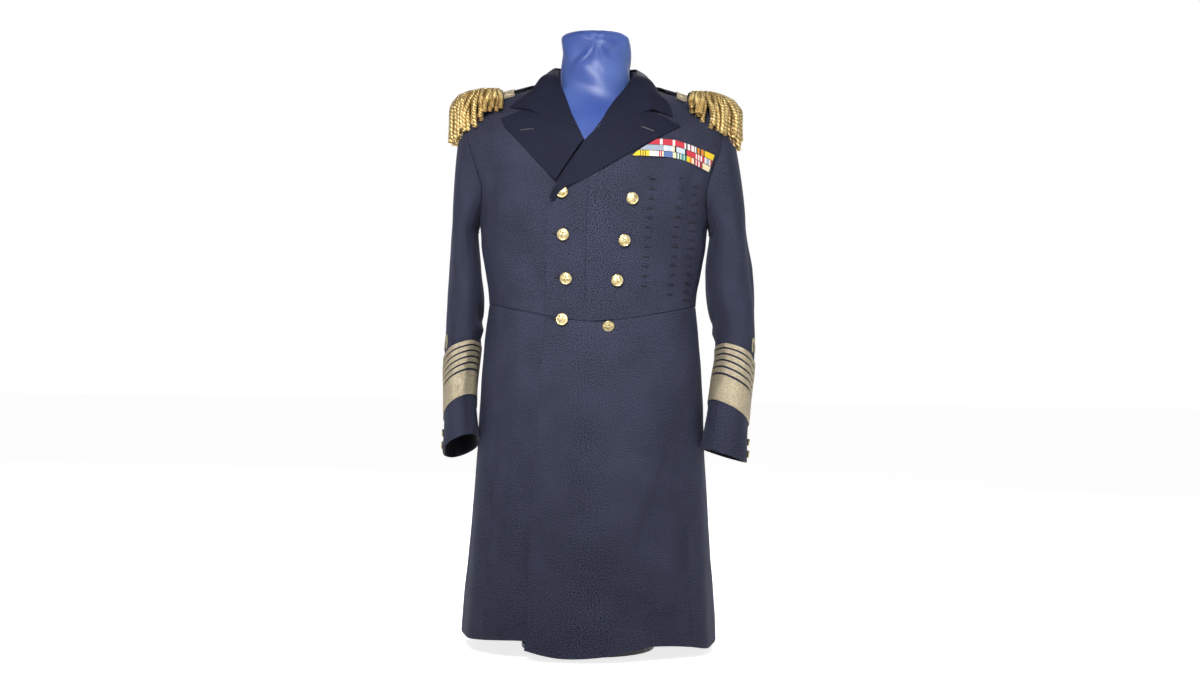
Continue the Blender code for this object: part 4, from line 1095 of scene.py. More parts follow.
            edge = SHAPE.line(self.back_edge, self.skirt_rows, behind=True)
            edge[-1] = back_low[0]
            outer = edge[:-1] + back_low[:-1] + loop[15:]
            neck = SHAPE.spot_at(*self.back_neck[0], behind=True)
            above, waist_spot = len(outer) - 1 - self.skirt_rows, outer[self.skirt_rows]
            centre = []
            for row in range(len(outer)):
                if row <= self.skirt_rows:
                    height = outer[0].y + (waist_spot.y - outer[0].y) * row / self.skirt_rows
                    lap = self.vent_lap * ease((self.vent_top - height) / self.vent_lap)
                    past = 360 + SHAPE.spot_at(-lap, height, behind=True).x if lap > 0.01 else 180.0
                    centre.append(Vector((past, height)))
                else:
                    share = (row - self.skirt_rows) / above
                    centre.append(Vector((180, waist_spot.y + (neck.y - waist_spot.y) * share)))
            neck_side = Vector((180 - neck_spot.x, SHAPE.ridge))
            top = SHAPE.line(self.back_neck, 3, behind=True)[:-1] + straight(neck_side, SHAPE.armhole(20), 4)
            bottom = [Vector((angle, through(self.over_hem, angle, 1)))
                      for angle in (centre[0].x + (outer[0].x - centre[0].x) * share for share in even(7))]
            centre[0], outer[0] = bottom[0], bottom[-1]
            spots = [side.mirror(row) for row in coons(bottom, top, centre, outer, 4)]
            lift = flat() if side is Side.LEFT else self.vent_lift
            breaks = ((self.skirt_rows, self.skirt_rows + self.body_rows), (3,))
            hang(
                Cut(f"back_{side.label}", spots, SHAPE.place, lift, (7, 6), breaks, uneven=0.4, seed=3),
                WOOL, lining=LINING,
            )

    def make_strip(self) -> None:
        """Makes the left front's buttoning strip, which carries the buttonholes."""
        edge = SHAPE.line(self.over_edge + self.over_roll[1:], self.body_rows * 2)
        seam = SHAPE.line(self.strip_seam, self.body_rows * 2)
        bottom = SHAPE.along_waist(edge[0].x, seam[0].x, even(3))
        apex = straight(edge[-2].lerp(edge[-1], 0.7), seam[-2].lerp(seam[-1], 0.8), 3)
        edge[0], seam[0], edge[-1], seam[-1] = bottom[0], bottom[-1], apex[0], apex[-1]
        creases = (
            Crease(((-84, 766), (-50, 770), (-16, 762)), -0.9, 7),
            Crease(((-84, 690), (-50, 684), (-16, 690)), -0.9, 7),
            Crease(((-48, 640), (-50, 720), (-50, 800)), 0.8, 14),
        )
        hang(
            Cut(
                "front_left_strip", coons(bottom, apex, edge, seam), SHAPE.place, flat(), (7, 7),
                creases=creases, uneven=0.4, seed=3,
            ),
            WOOL, lining=LINING, gap=0.35,
        )

    def make_skirt(self) -> None:
        """Makes the skirt's fronts and sides, from the waist seam to the hem."""
        for side in Side:
            left_side = side is Side.LEFT
            hems = self.over_hem if left_side else tuple((-a, h) for a, h in reversed(self.under_hem))
            edge = self.over_skirt_edge if left_side else self.under_skirt_edge
            front_edge = SHAPE.line(edge, self.skirt_rows)
            seam = SHAPE.line(self.skirt_seam, self.skirt_rows)
            rear = SHAPE.line(self.back_edge, self.skirt_rows, behind=True)
            for label, left, right, lift in (
                ("front", front_edge, seam, flat() if left_side else self.under_lift),
                ("side", seam, rear, self.pleat_lift),
            ):
                left, right, shares = list(left), list(right), even(9)
                if label == "side":
                    tucked = 1 + self.pleat_turn / (left[0].x - right[0].x - self.pleat_past)
                    shares = [share * tucked for share in even(8)] + [1.0]
                    right = [Vector((spot.x + self.pleat_past, spot.y)) for spot in right]
                angles = [left[0].x + (right[0].x - left[0].x) * share for share in shares]
                bottom = [Vector((angle, through(hems, angle, 1))) for angle in angles]
                top = SHAPE.along_waist(left[-1].x, right[-1].x, shares, 0.5)
                left[0], right[0], left[-1], right[-1] = bottom[0], bottom[-1], top[0], top[-1]
                spots = [side.mirror(row) for row in coons(bottom, top, left, right, shares=shares)]
                breaks = ((), ()) if label == "front" else ((), (7, 8))
                hang(
                    Cut(f"skirt_{label}_{side.label}", spots, SHAPE.place, lift, (10, 6), breaks,
                        self.skirt_creases(side), 0.4, 3),
                    WOOL, lining=LINING,
                )

    def make_stay(self) -> None:
        """Makes the tapes that stay the waist seam inside, from under each arm to the back."""
        start, end = self.stay
        angles = [start + (end - start) * share for share in even(32)]
        for side in Side:
            rows = [
                side.mirror([Vector((angle, SHAPE.waist(side.value * angle) + rise)) for angle in angles])
                for rise in (-self.stay_half, 0, self.stay_half)
            ]
            grid = facing_out(laid(rows, SHAPE.place, flat(self.stay_lift)), SHAPE.place, rows)
            shell = Shell(f"waist_stay_tape_{side.label}", grid, LINING, 0.6, 0, 0)
            shell.sew()

    def make(self) -> None:
        """Makes the whole body of the coat."""
        self.make_stay()
        self.make_fronts_and_backs()
        self.make_strip()
        self.make_skirt()


@dataclass
class Lapels:
    """Both lapels, each rolled over its front."""

    over: tuple = (
        ((-77, 829), (-64, 862), (-38, 902), (-14, 938), (4, 953)),
        ((4, 953), (30, 968), (60, 980), (99, 992)),
        ((99, 992), (128, 981), (157, 966)),
        ((-73, 828), (-58, 845), (-40, 855), (-16, 867), (11, 883), (71, 918), (117, 945), (157, 966)),
    )
    under: tuple = (
        ((-20, 936), (-25, 946), (-28, 954)),
        ((-28, 954), (-80, 977), (-126, 995)),
        ((-126, 995), (-150, 986), (-171, 977)),
        ((-69, 863), (-108, 902), (-145, 942), (-164, 962), (-171, 977)),
    )
    under_foot: tuple = ((-20, 936), (-45, 900), (-69, 863))
    roll_lift: float = 4.5
    rest: float = 3.6
    button_lift: float = 4.6

    def lift(self, spot: Vector, u: float, v: float) -> float:
        """A lapel rises over its roll line and lies close at its outer edge."""
        return self.rest + self.roll_lift * (1 - u) ** 2

    def lift_over_button(self, spot: Vector, u: float, v: float) -> float:
        """The over lapel's foot also passes over the top button's edge."""
        return self.lift(spot, u, v) + self.button_lift * ease((0.2 - v) / 0.1)

    def make(self) -> None:
        """Makes the two lapels."""
        creases = (
            Crease(((-112, 985), (-92, 958), (-80, 930), (-74, 905)), -2.6, 9),
            Crease(((-132, 985), (-118, 950), (-98, 918)), 1.6, 12),
            Crease(((70, 985), (72, 955), (40, 920)), -1.6, 14),
            Crease(((-40, 880), (0, 925), (24, 958)), 1.4, 10),
        )
        for side, (roll, gorge, notch, edge), lift in (
            (Side.LEFT, self.over, self.lift_over_button), (Side.RIGHT, self.under, self.lift),
        ):
            left, right = SHAPE.line(roll, 9), SHAPE.line(edge, 9)
            top = SHAPE.line(gorge, 4)[:-1] + SHAPE.line(notch, 3)
            bottom = straight(left[0], right[0], 7) if side is Side.LEFT else SHAPE.line(self.under_foot, 7)
            cut = Cut(
                f"lapel_{side.label}", coons(bottom, top, left, right), SHAPE.place, lift, (8, 8),
                ((), (4,)), creases, 0.25, 17,
            )
            # The lapels take the darker copy of the wool, which is painted shade.
            hang(cut, SHADED_COLLAR_AND_LAPEL_WOOL, edge=1.0, slot="lapel_cloth")


@dataclass
class CollarPieces:
    """The collar's fall over the shoulders and the stand inside it."""

    # fold x, fold y, fold height, edge x, edge height, whether the edge is behind, bend
    rows: tuple = (
        (8, -121, 957, 142, 985, False, 17), (21, -119, 988, 138, 1001, False, 6),
        (50, -79, 1036, 131, 1018, False, 0), (71, -38, 1070, 114, 1038, False, 0),
        (77, 6, 1089, 102, 1050, True, 0),
        (61, 46, 1095, 84, 1034, True, 0), (0, 64, 1096, 0, 1028, True, 0),
        (-61, 46, 1095, -84, 1034, True, 0), (-78, 6, 1090, -98, 1050, True, 0),
        (-74, -38, 1072, -108, 1040, False, 0), (-62, -74, 1042, -128, 1026, False, 0),
        (-43, -116, 986, -143, 1014, False, 1), (-31, -121, 957, -156, 1001, False, 2),
    )
    neckline: tuple = (
        (71, -37, 1057), (76, 4, 1061), (60, 32, 1053), (0, 49, 1044), (-60, 32, 1053), (-77, 4, 1061),
        (-74, -37, 1058),
    )
    rest: float = 3.3
    # how far the fall arches outwards and upwards between its fold and its edge
    arch_out: int = 8
    arch_up: int = 4
    bend_peak: float = 0.7
    laid_end: float = 0.09
    # where the fall bends from the chest over the shoulder: x, height at the top and at the notch
    ridges: tuple = (((84, 1054), (92, 1028), (103, 996)), ((-88, 1054), (-98, 1028), (-116, 1000)))
    ridge_height: float = 8.0
    ridge_width: float = 30.0
    # direction that the outer face has at the nape
    behind: tuple = (0.0, 1.0, 0.2)

    def fall_point(self, part: float, drop: float) -> Vector:
        """Point on the fall: part runs round the neck, drop from the fold to the outer edge."""
        fold = spline([Vector(row[:3]) for row in self.rows], part)
        edge_x, edge_height, bend = spline([Vector((row[3], row[4], row[6])) for row in self.rows], part)
        behind = self.rows[round(part * (len(self.rows) - 1))][5]
        edge = SHAPE.place(SHAPE.spot_at(edge_x, edge_height, behind), self.rest)
        peak = self.bend_peak
        rise = bend * (drop / peak if drop < peak else (1 - drop) / (1 - peak)) ** 0.8
        near_end = min(part, 1 - part)
        round_neck, arch = ease(near_end / 0.2), math.sin(math.pi * drop)
        out = Vector((edge.x, edge.y + 8, 0)).normalized()
        free = fold.lerp(edge, drop) + out * self.arch_out * arch * (0.15 + 0.85 * round_neck)
        free += Vector((0, 0, self.arch_up * arch * round_neck))
        weight = 1 - ease((near_end - self.laid_end) / self.laid_end)
        if not weight:
            return free
        x, height = fold.x + (edge_x - fold.x) * drop, fold.z + (edge_height - fold.z) * drop + rise
        return free.lerp(SHAPE.place(SHAPE.spot_at(x, height), self.rest + 4.5 * (1 - drop) ** 2), weight)

    def stand_point(self, part: float, rise: float) -> Vector:
        """Point on the stand: part runs round the neck, rise from the seam to the fold."""
        fold = spline([Vector(row[:3]) for row in self.rows[3:-3]], part)
        inward = Vector((-fold.x, 4 - fold.y, 0)).normalized()
        top = fold + inward * 2.5 - Vector((0, 0, 5))
        return spline([Vector(row) for row in self.neckline], part).lerp(top, rise)

    def ridged(self, grid: np.ndarray) -> np.ndarray:
        """Bends the fall along a ridge from the neck to each notch."""
        x, z = grid[:, :, 0], grid[:, :, 2]
        lift = np.zeros_like(x)
        for ridge in self.ridges:
            away = np.full(x.shape, 1e9)
            for share in even(40):
                px, pz = spline([Vector(point) for point in ridge], share)
                away = np.minimum(away, np.hypot(x - px, z - pz))
            lift += self.ridge_height * np.clip(1 - away / self.ridge_width, 0, 1) ** 1.3
        return grid + normals(grid) * (lift * (grid[:, :, 1] < 20))[:, :, None]

    def make_piece(
        self, name: str, point: Callable[[float, float], Vector], columns: int, rows: int
    ) -> None:
        """Makes one of the two pieces from its surface of two shares."""
        grid = np.array([[point(u, v) for u in even(columns)] for v in even(rows)])
        grid = refine(refine(grid, 0, 8 if rows > 2 else 6), 1, 6)
        grid = facing(grid, self.behind)
        if name == "collar_fall":
            grid = self.ridged(grid)
        # The fall takes the darker copy of the wool, which is painted shade.
        shell = Shell(f"{name}_cloth", grid, SHADED_COLLAR_AND_LAPEL_WOOL if name == "collar_fall" else WOOL, edge=1.0)
        shell.sew(name)

    def make(self) -> None:
        """Makes the fall and the stand."""
        self.make_piece("collar_fall", self.fall_point, 24, 5)
        self.make_piece("collar_stand", self.stand_point, 18, 2)


@dataclass
class Sleeve:
    """One sleeve in two pieces, with its rows of lace, its loop and its cuff buttons."""

    side: Side
    # height, outer x, inner x, centre y, half depth, tilt
    rings: tuple[tuple[float, ...], ...]
    roundness: float = 2.2
    hind_seam: int = -2
    fore_seam: int = 7
    # step from the top, how far the cap starts out, its dip in degrees, how far it ends down
    pulls: tuple = ((0, 70, 18, 190), (5, 45, 40, 110), (10, 14, 82, 14))
    # name, height of the lower edge at the outer face, width
    lace: tuple = (
        ("lace_broad", 442, 46), ("lace_1", 491, 9.5), ("lace_2", 503, 9.5), ("lace_3", 515, 9.5),
        ("lace_4", 527, 9.5), ("lace_5", 539, 9.5),
    )
    arch: float = 6.0
    slant: float = 6.0
    # how much lower the outer side of the cuff is than its inner side, for each unit across
    lean: float = 0.3
    folds_of_own: tuple = ()
    lace_thick: float = 1.2
    lace_rest: float = 2.2
    lace_edge: float = 0.35
    # x and y of a line inside the sleeve, with which its pieces tell out from in
    axis: tuple[float, float] = (245.0, -20.0)
    # how far the loop's middle is above the lace, its radii, where it starts and how far it turns
    curl_rise: float = 16.3
    curl_radii: tuple = (7.3, 11.3, 15.3)
    curl_turn: tuple[float, float] = (-50, 280)

    def ring_point(self, step: float, height: float) -> Vector:
        """Point on the sleeve below the armhole: 0 is outside and a quarter turn is in front."""
        rows = tuple(reversed(self.rings))
        outer, inner, centre_y, half_depth, tilt = (through(rows, height, column) for column in range(1, 6))
        turn = 2 * math.pi * step / SHAPE.arm_steps
        ahead = half_depth * signed_power(math.sin(turn), 2 / self.roundness)
        aside = (outer - inner) / 2 * signed_power(math.cos(turn), 2 / self.roundness)
        tilt, lean = math.radians(tilt), self.lean * ease((620 - height) / 110)
        x = self.side.value * ((outer + inner) / 2 + aside)
        return Vector((x, centre_y - ahead * math.cos(tilt), height + ahead * math.sin(tilt) - aside * lean))

    def point(self, step: float, down: float) -> Vector:
        """Point on the sleeve: down is 0 at the armhole, 1 under the cap and 2 at the cuff."""
        top, low = self.rings[0][0], self.rings[-1][0]
        if down > 1:
            return self.ring_point(step, top + (low - top) * (down - 1))
        fold = step % SHAPE.arm_steps
        fold = min(fold, SHAPE.arm_steps - fold)
        start_pull, dip, end_pull = (through(self.pulls, fold, column) for column in (1, 2, 3))
        dip = math.radians(dip)
        out = Vector((self.side.value * math.cos(dip), 0, -math.sin(dip)))
        start = SHAPE.point(SHAPE.armhole(step, self.side.value)) + out * 0.6
        end = self.ring_point(step, top)
        square, cube = down * down, down ** 3
        return (
            start * (2 * cube - 3 * square + 1) + out * start_pull * (cube - 2 * square + down)
            + end * (3 * square - 2 * cube) + Vector((0, 0, -end_pull)) * (cube - square)
        )

    def place(self, spot: Vector, lift: float = 0.0) -> Vector:
        """Point above the sleeve's surface."""
        step, down = spot
        across = self.point(step + 0.1, down) - self.point(step - 0.1, down)
        low, high = max(down - 0.01, 0.0), min(down + 0.01, 2.0)
        along = self.point(step, high) - self.point(step, low)
        return self.point(step, down) + across.cross(along).normalized() * self.side.value * lift

    def down_at(self, height: float) -> float:
        """Share down the sleeve where its axis has this height."""
        top, low = self.rings[0][0], self.rings[-1][0]
        return 1 + (top - height) / (top - low)

    def folds(self, step: np.ndarray, height: np.ndarray) -> np.ndarray:
        """Lift of the sleeve's soft folds at steps round it and heights down it.

        The folds run slantwise at the bend of the arm, and lengthwise below the shoulder.
        """
        round_at = (step - self.hind_seam) % SHAPE.arm_steps + self.hind_seam
        creases = [
            Crease(((30, 700), (34, 640), (40, 585), (58, 560)), -2.6, 7),
            Crease(((14, 660), (26, 615), (44, 596), (66, 590)), 2.0, 7),
            Crease(((60, 640), (76, 612), (98, 606)), -2.4, 7),
            Crease(((56, 586), (74, 572), (100, 580)), -2.2, 6),
            Crease(((54, 606), (78, 592), (104, 596)), 2.0, 6),
            Crease(((26, 790), (30, 740), (30, 680)), 2.4, 8),
            Crease(((40, 800), (43, 740), (40, 690)), -2.0, 7),
            Crease(((-16, 760), (-10, 690), (-12, 620)), -1.6, 8),
            Crease(((10, 600), (16, 560), (12, 520)), -1.2, 8),
            Crease(((0, 430), (20, 424), (44, 430)), -0.8, 9),
            *self.folds_of_own,
        ]
        lift = crease_heights(round_at * 8.0, height, creases)
        angle = 2 * math.pi * round_at / SHAPE.arm_steps
        return lift + ripples(70 * np.sin(angle) + 35 * np.cos(angle), height, 0.7, 23)

    def lifted(self, grid: np.ndarray, spots: np.ndarray) -> np.ndarray:
        """Adds the folds to a grid of points, given the step and height of each."""
        lift = self.folds(spots[:, :, 0], spots[:, :, 1])
        fade = np.clip((850 - spots[:, :, 1]) / 60, 0, 1)
        normal = normals(grid)
        out = grid - np.array((self.side.value * self.axis[0], self.axis[1], 0.0))
        out[:, :, 2] = 0
        normal *= np.sign(np.sum(normal * out, axis=2, keepdims=True))
        return grid + normal * (lift * fade)[:, :, None]

    def grid(self, rows: list[Spots], height: float, fine: tuple[int, int]) -> np.ndarray:
        """Fine points of a piece on the sleeve, lifted by a height and by the folds below it."""
        grid = laid(rows, self.place, flat(height))
        spots = np.array([[(s.x, self.point(s.x, s.y).z) for s in row] for row in rows])
        grid, spots = (refine(refine(item, 0, fine[0]), 1, fine[1]) for item in (grid, spots))
        grid = self.lifted(grid, spots)
        middle = grid[grid.shape[0] // 2, grid.shape[1] // 2]
        return facing(grid, middle - np.array((self.side.value * self.axis[0], self.axis[1], middle[2])))

    def sew_lace(self, name: str, grid: np.ndarray, gap: float) -> None:
        """Makes a piece of lace on the sleeve."""
        shell = Shell(
            f"{name}_{self.side.label}_cloth", grid, LACE, self.lace_thick, gap, self.lace_edge,
            slot="gold_lace",
        )
        shell.sew(f"{name}_{self.side.label}")

    def make_cloth(self) -> None:
        """Makes the top and the under sleeve."""
        downs = [row / 4 for row in range(4)]
        downs += [1 + share for share in (0.0, 0.15, 0.3, 0.44, 0.555, 0.64, 0.735, 0.84, 1.0)]
        for label, start, end in (
            ("top", self.hind_seam, self.fore_seam),
            ("under", self.fore_seam, self.hind_seam + SHAPE.arm_steps),
        ):
            rows = [[Vector((step, down)) for step in range(start, end + 1)] for down in downs]
            name = f"sleeve_{label}_{self.side.label}"
            shell = Shell(f"{name}_cloth", self.grid(rows, 0.0, (9, 6)), WOOL, gap=0.3, lining=LINING)
            shell.sew(name)

    def make_lace(self) -> None:
        """Makes the rows of lace and the loop above them."""
        start = self.hind_seam
        steps = [start + index / 2 for index in range(2 * SHAPE.arm_steps + 1)]
        for name, low, width in self.lace:
            rows = []
            for height in (low, low + width / 2, low + width):
                turns = [2 * math.pi * step / SHAPE.arm_steps for step in steps]
                arched = [height + self.arch * math.sin(turn) - self.slant * math.cos(turn) for turn in turns]
                rows.append([Vector((s, self.down_at(h))) for s, h in zip(steps, arched)])
            self.sew_lace(name, self.grid(rows, self.lace_rest, (3, 4)), 0.5)
        centre = self.lace[-1][1] + self.lace[-1][2] + self.curl_rise
        start_turn, sweep = self.curl_turn
        rows = []
        for radius in self.curl_radii:
            ring = []
            for turn in (math.radians(start_turn + sweep * share) for share in even(28)):
                step = SHAPE.arm_steps / (2 * math.pi) * math.asin(radius * math.cos(turn) / 74)
                ring.append(Vector((step + 1.8, self.down_at(centre + radius * math.sin(turn)))))
            rows.append(ring)
        self.sew_lace("curl", self.grid(rows, self.lace_rest, (3, 2)), 0.0)

    def make(self) -> None:
        """Makes the sleeve with what is sewn on it."""
        self.make_cloth()
        self.make_lace()


RIGHT_RINGS = (
    (770, 266, 217.5, 2, 84, -2), (742, 268, 215, 2, 84, -2), (690, 271, 210, 3, 82, 0),
    (640, 274, 206, 2, 80, 3), (590, 275, 208, -3, 77, 8), (540, 276, 210, -13, 74, 12),
    (490, 274, 214, -26, 70, 15), (440, 273, 213, -41, 66, 17), (400, 273, 209, -53, 63, 18),
    (377, 274, 205, -60, 62, 19),
)
LEFT_RINGS = (
    (770, 288, 218, 2, 84, -2), (742, 293, 215, 2, 84, -2), (690, 301, 211, 3, 82, 0),
    (640, 305, 219, 2, 80, 3), (590, 306, 229, -3, 77, 8), (540, 304, 232, -13, 74, 12),
    (490, 298, 224, -26, 70, 11), (440, 293, 216, -41, 66, 9), (400, 291, 210, -53, 63, 7),
    (366, 290, 204, -62, 62, 5),
)
RIGHT_FOLDS = (
    Crease(((57, 560), (56, 500), (55, 440), (52, 392)), -3.2, 6),
    Crease(((66, 560), (68, 490), (66, 420)), 2.0, 7),
    Crease(((20, 400), (34, 392), (46, 398)), 1.0, 10),
)
LEFT_FOLDS = (
    Crease(((16, 560), (14, 500), (12, 440)), -2.4, 6), Crease(((24, 560), (23, 500), (22, 440)), 1.4, 7),
    Crease(((13, 800), (12, 740), (10, 680), (7, 600)), -3.4, 5),
    Crease(((4, 790), (3, 720), (0, 640)), 2.2, 7),
    Crease(((60, 386), (72, 380), (84, 388)), 1.2, 9),
)


# Solid pieces


def settle(piece: bpy.types.Object, finish: Finish, sharp: float = 40.0) -> bpy.types.Object:
    """Applies a piece's modifiers and place, dresses it, and lets it ride on the root.

    Args:
        piece: The object.
        finish: Its material.
        sharp: Angle in degrees past which an edge stays sharp.

    Returns:
        The same object, at the origin.
    """
    bpy.ops.object.select_all(action="DESELECT")
    piece.select_set(True)
    bpy.context.view_layer.objects.active = piece
    for modifier in list(piece.modifiers):
        bpy.ops.object.modifier_apply(modifier=modifier.name)
    bpy.ops.object.transform_apply(location=True, rotation=True, scale=True)
    piece.data.materials.clear()
    piece.data.materials.append(finish.make())
    bpy.ops.object.shade_smooth_by_angle(angle=math.radians(sharp))
    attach(piece, "root")
    return piece


def joined(pieces: Sequence[bpy.types.Object], name: str) -> bpy.types.Object:
    """Joins pieces into one object with this name."""
    bpy.ops.object.select_all(action="DESELECT")
    for piece in pieces:
        piece.select_set(True)
    bpy.context.view_layer.objects.active = pieces[0]
    if len(pieces) > 1:
        bpy.ops.object.join()
    made = bpy.context.object
    made.name = made.data.name = name
    return made


def ring_mesh(
    name: str, rings: np.ndarray, closed: bool = True, tone: Sequence[float] | None = None
) -> bpy.types.Object:
    """Skin over rings of points, given as rings, points, 3 in millimetres, with its ends filled.

    Args:
        name: The object's name.
        rings: The rings of points.
        closed: Whether the two end rings get a face each.
        tone: What each point's "coil" attribute holds.

    Returns:
        The new object, with its faces turned outwards.
    """
    count, sides = rings.shape[:2]
    faces = [
        (r * sides + s, r * sides + (s + 1) % sides, (r + 1) * sides + (s + 1) % sides, (r + 1) * sides + s)
        for r in range(count - 1) for s in range(sides)
    ]
    if closed:
        faces += [tuple(reversed(range(sides))), tuple((count - 1) * sides + s for s in range(sides))]
    mesh = bpy.data.meshes.new(name)
    mesh.from_pydata((rings.reshape(-1, 3) * MM).tolist(), [], faces)
    if tone is not None:
        mesh.attributes.new("coil", "FLOAT", "POINT").data.foreach_set("value", tone)
    made = bpy.data.objects.new(name, mesh)
    bpy.context.scene.collection.objects.link(made)
    bpy.ops.object.select_all(action="DESELECT")
    made.select_set(True)
    bpy.context.view_layer.objects.active = made
    bpy.ops.object.mode_set(mode="EDIT")
    bpy.ops.mesh.select_all(action="SELECT")
    bpy.ops.mesh.normals_make_consistent(inside=False)
    bpy.ops.object.mode_set(mode="OBJECT")
    return made


def tube(path: Sequence[Vector], radius: Callable[[float, float], float], sides: int) -> np.ndarray:
    """Rings round a path; the radius may depend on the share along it and the turn round it."""
    rings = []
    side = None
    for index, point in enumerate(path):
        before, after = path[max(index - 1, 0)], path[min(index + 1, len(path) - 1)]
        along = (after - before).normalized()
        if side is None:
            side = along.cross(Vector((0.31, 0.2, 0.93))).normalized()
        side = (side - along * side.dot(along)).normalized()
        other = along.cross(side)
        share = index / (len(path) - 1)
        rings.append([
            point + (side * math.cos(turn) + other * math.sin(turn)) * radius(share, turn)
            for turn in (2 * math.pi * step / sides for step in range(sides))
        ])
    return np.array(rings)


def tones(coil: Callable[[float, float], float], steps: int, sides: int) -> list[float]:
    """Values of a coil function at every point of a tube."""
    return [coil(share, 2 * math.pi * side / sides) for share in even(steps) for side in range(sides)]


@dataclass
class GiltButton:
    """Domed gilt button with a roped rim and a plain rosette, spun from its profile."""

    profile: tuple = (
        (0.0, 7.0), (1.6, 6.95), (3.2, 6.8), (4.8, 6.55), (6.4, 6.15), (7.8, 5.7), (8.6, 5.35), (9.0, 5.6),
        (9.5, 6.1), (10.1, 6.15), (10.6, 5.7), (11.0, 4.9), (11.1, 4.1), (10.7, 3.0), (9.5, 2.1),
        (6.0, 1.5), (3.0, 1.2), (2.9, 0.0), (0.0, 0.0),
    )
    turns: int = 48
    # where the roped rim starts, its height above the rest of the rim and its count of twists
    rope_from: float = 8.9
    rope_height: float = 0.22
    rope_twists: int = 24
    # the rosette's height, petals, middle and spread
    petal_height: float = 0.55
    petals: int = 6
    petal_middle: float = 4.2
    petal_spread: float = 2.4

    def spin(self) -> bpy.types.Mesh:
        """Spins the profile about its axis and presses the rope and the rosette into it."""
        bpy.ops.object.select_all(action="DESELECT")
        bpy.ops.mesh.primitive_circle_add(vertices=len(self.profile), radius=1.0, fill_type="NOTHING")
        made = bpy.context.object
        made.data.clear_geometry()
        points = [(radius * MM, 0.0, height * MM) for radius, height in self.profile]
        made.data.from_pydata(points, [(index, index + 1) for index in range(len(points) - 1)], [])
        bpy.ops.object.mode_set(mode="EDIT")
        bpy.ops.mesh.select_all(action="SELECT")
        bpy.ops.mesh.spin(steps=self.turns, angle=2 * math.pi, center=(0, 0, 0), axis=(0, 0, 1))
        bpy.ops.mesh.select_all(action="SELECT")
        bpy.ops.mesh.remove_doubles(threshold=0.00005)
        bpy.ops.mesh.normals_make_consistent(inside=False)
        bpy.ops.object.mode_set(mode="OBJECT")
        for vertex in made.data.vertices:
            radius = math.hypot(vertex.co.x, vertex.co.y) / MM
            turn = math.atan2(vertex.co.y, vertex.co.x)
            height = vertex.co.z / MM
            if self.rope_from < radius and height > 4:
                vertex.co.z += self.rope_height * math.cos(turn * self.rope_twists) * MM
            elif height > 5 and radius > 0.5:
                fading = math.exp(-((radius - self.petal_middle) / self.petal_spread) ** 2)
                vertex.co.z += self.petal_height * math.cos(turn * self.petals) * fading * MM
        mesh = made.data.copy()
        bpy.data.objects.remove(made)
        return mesh


@dataclass
class Buttons:
    """All the buttons, each where its node is."""

    # name, x, height, whether it is behind
    rows: tuple = (
        ("button_left_1", -57, 842, False), ("button_left_2", -54, 766, False),
        ("button_left_3", -48, 687, False), ("button_left_4", -54, 612, False),
        ("button_right_1", 69, 832, False), ("button_right_2", 56, 757, False),
        ("button_right_3", 44, 685, False), ("button_right_4", 29, 606, False),
        ("button_hip_left", 34, 654, True), ("button_hip_right", -34, 654, True),
    )
    # gap between cloth and button in front, behind and on the cuffs
    gaps: tuple = (0.5, 1.1, 0.3)
    # the lowest right button hangs forward on a fold: its direction and its gap
    hanging: tuple = ((0.1, -0.8, -0.56), 3.2)
    cuff_rises: tuple = (16.0, 38.0)
    cuff_scale: float = 0.66

    def seat(
        self, name: str, mesh: bpy.types.Mesh, point: Vector, normal: Vector, gap: float, scale: float = 1.0
    ) -> None:
        """Seats a copy of the button above the cloth."""
        made = bpy.data.objects.new(f"{name}_gilt", mesh.copy())
        made.data.name = made.name
        bpy.context.scene.collection.objects.link(made)
        turn = normal.to_track_quat("Z", "Y").to_matrix().to_4x4()
        made.data.transform(Matrix.Translation((point + normal * gap) * MM) @ turn @ Matrix.Scale(scale, 4))
        settle(made, GILT, 60)
        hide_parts(name)

    def make(self, sleeves: Sequence[Sleeve]) -> None:
        """Makes every button of the fronts, the back and the cuffs."""
        mesh = GiltButton().spin()
        for name, x, height, behind in self.rows:
            spot = SHAPE.spot_at(x, height, behind)
            point = SHAPE.place(spot)
            normal = (SHAPE.place(spot, 1.0) - point).normalized()
            gap = self.gaps[1] if behind else self.gaps[0]
            if name == "button_right_4":
                normal, gap = Vector(self.hanging[0]).normalized(), self.hanging[1]
            self.seat(name, mesh, point, normal, gap)
        for sleeve in sleeves:
            for number, rise in enumerate(self.cuff_rises, 1):
                spot = Vector((sleeve.hind_seam + 1.5, sleeve.down_at(sleeve.rings[-1][0] + rise)))
                point = sleeve.place(spot)
                normal = (sleeve.place(spot, 1.0) - point).normalized()
                name = f"button_cuff_{sleeve.side.label}_{number}"
                self.seat(name, mesh, point, normal, self.gaps[2], self.cuff_scale)


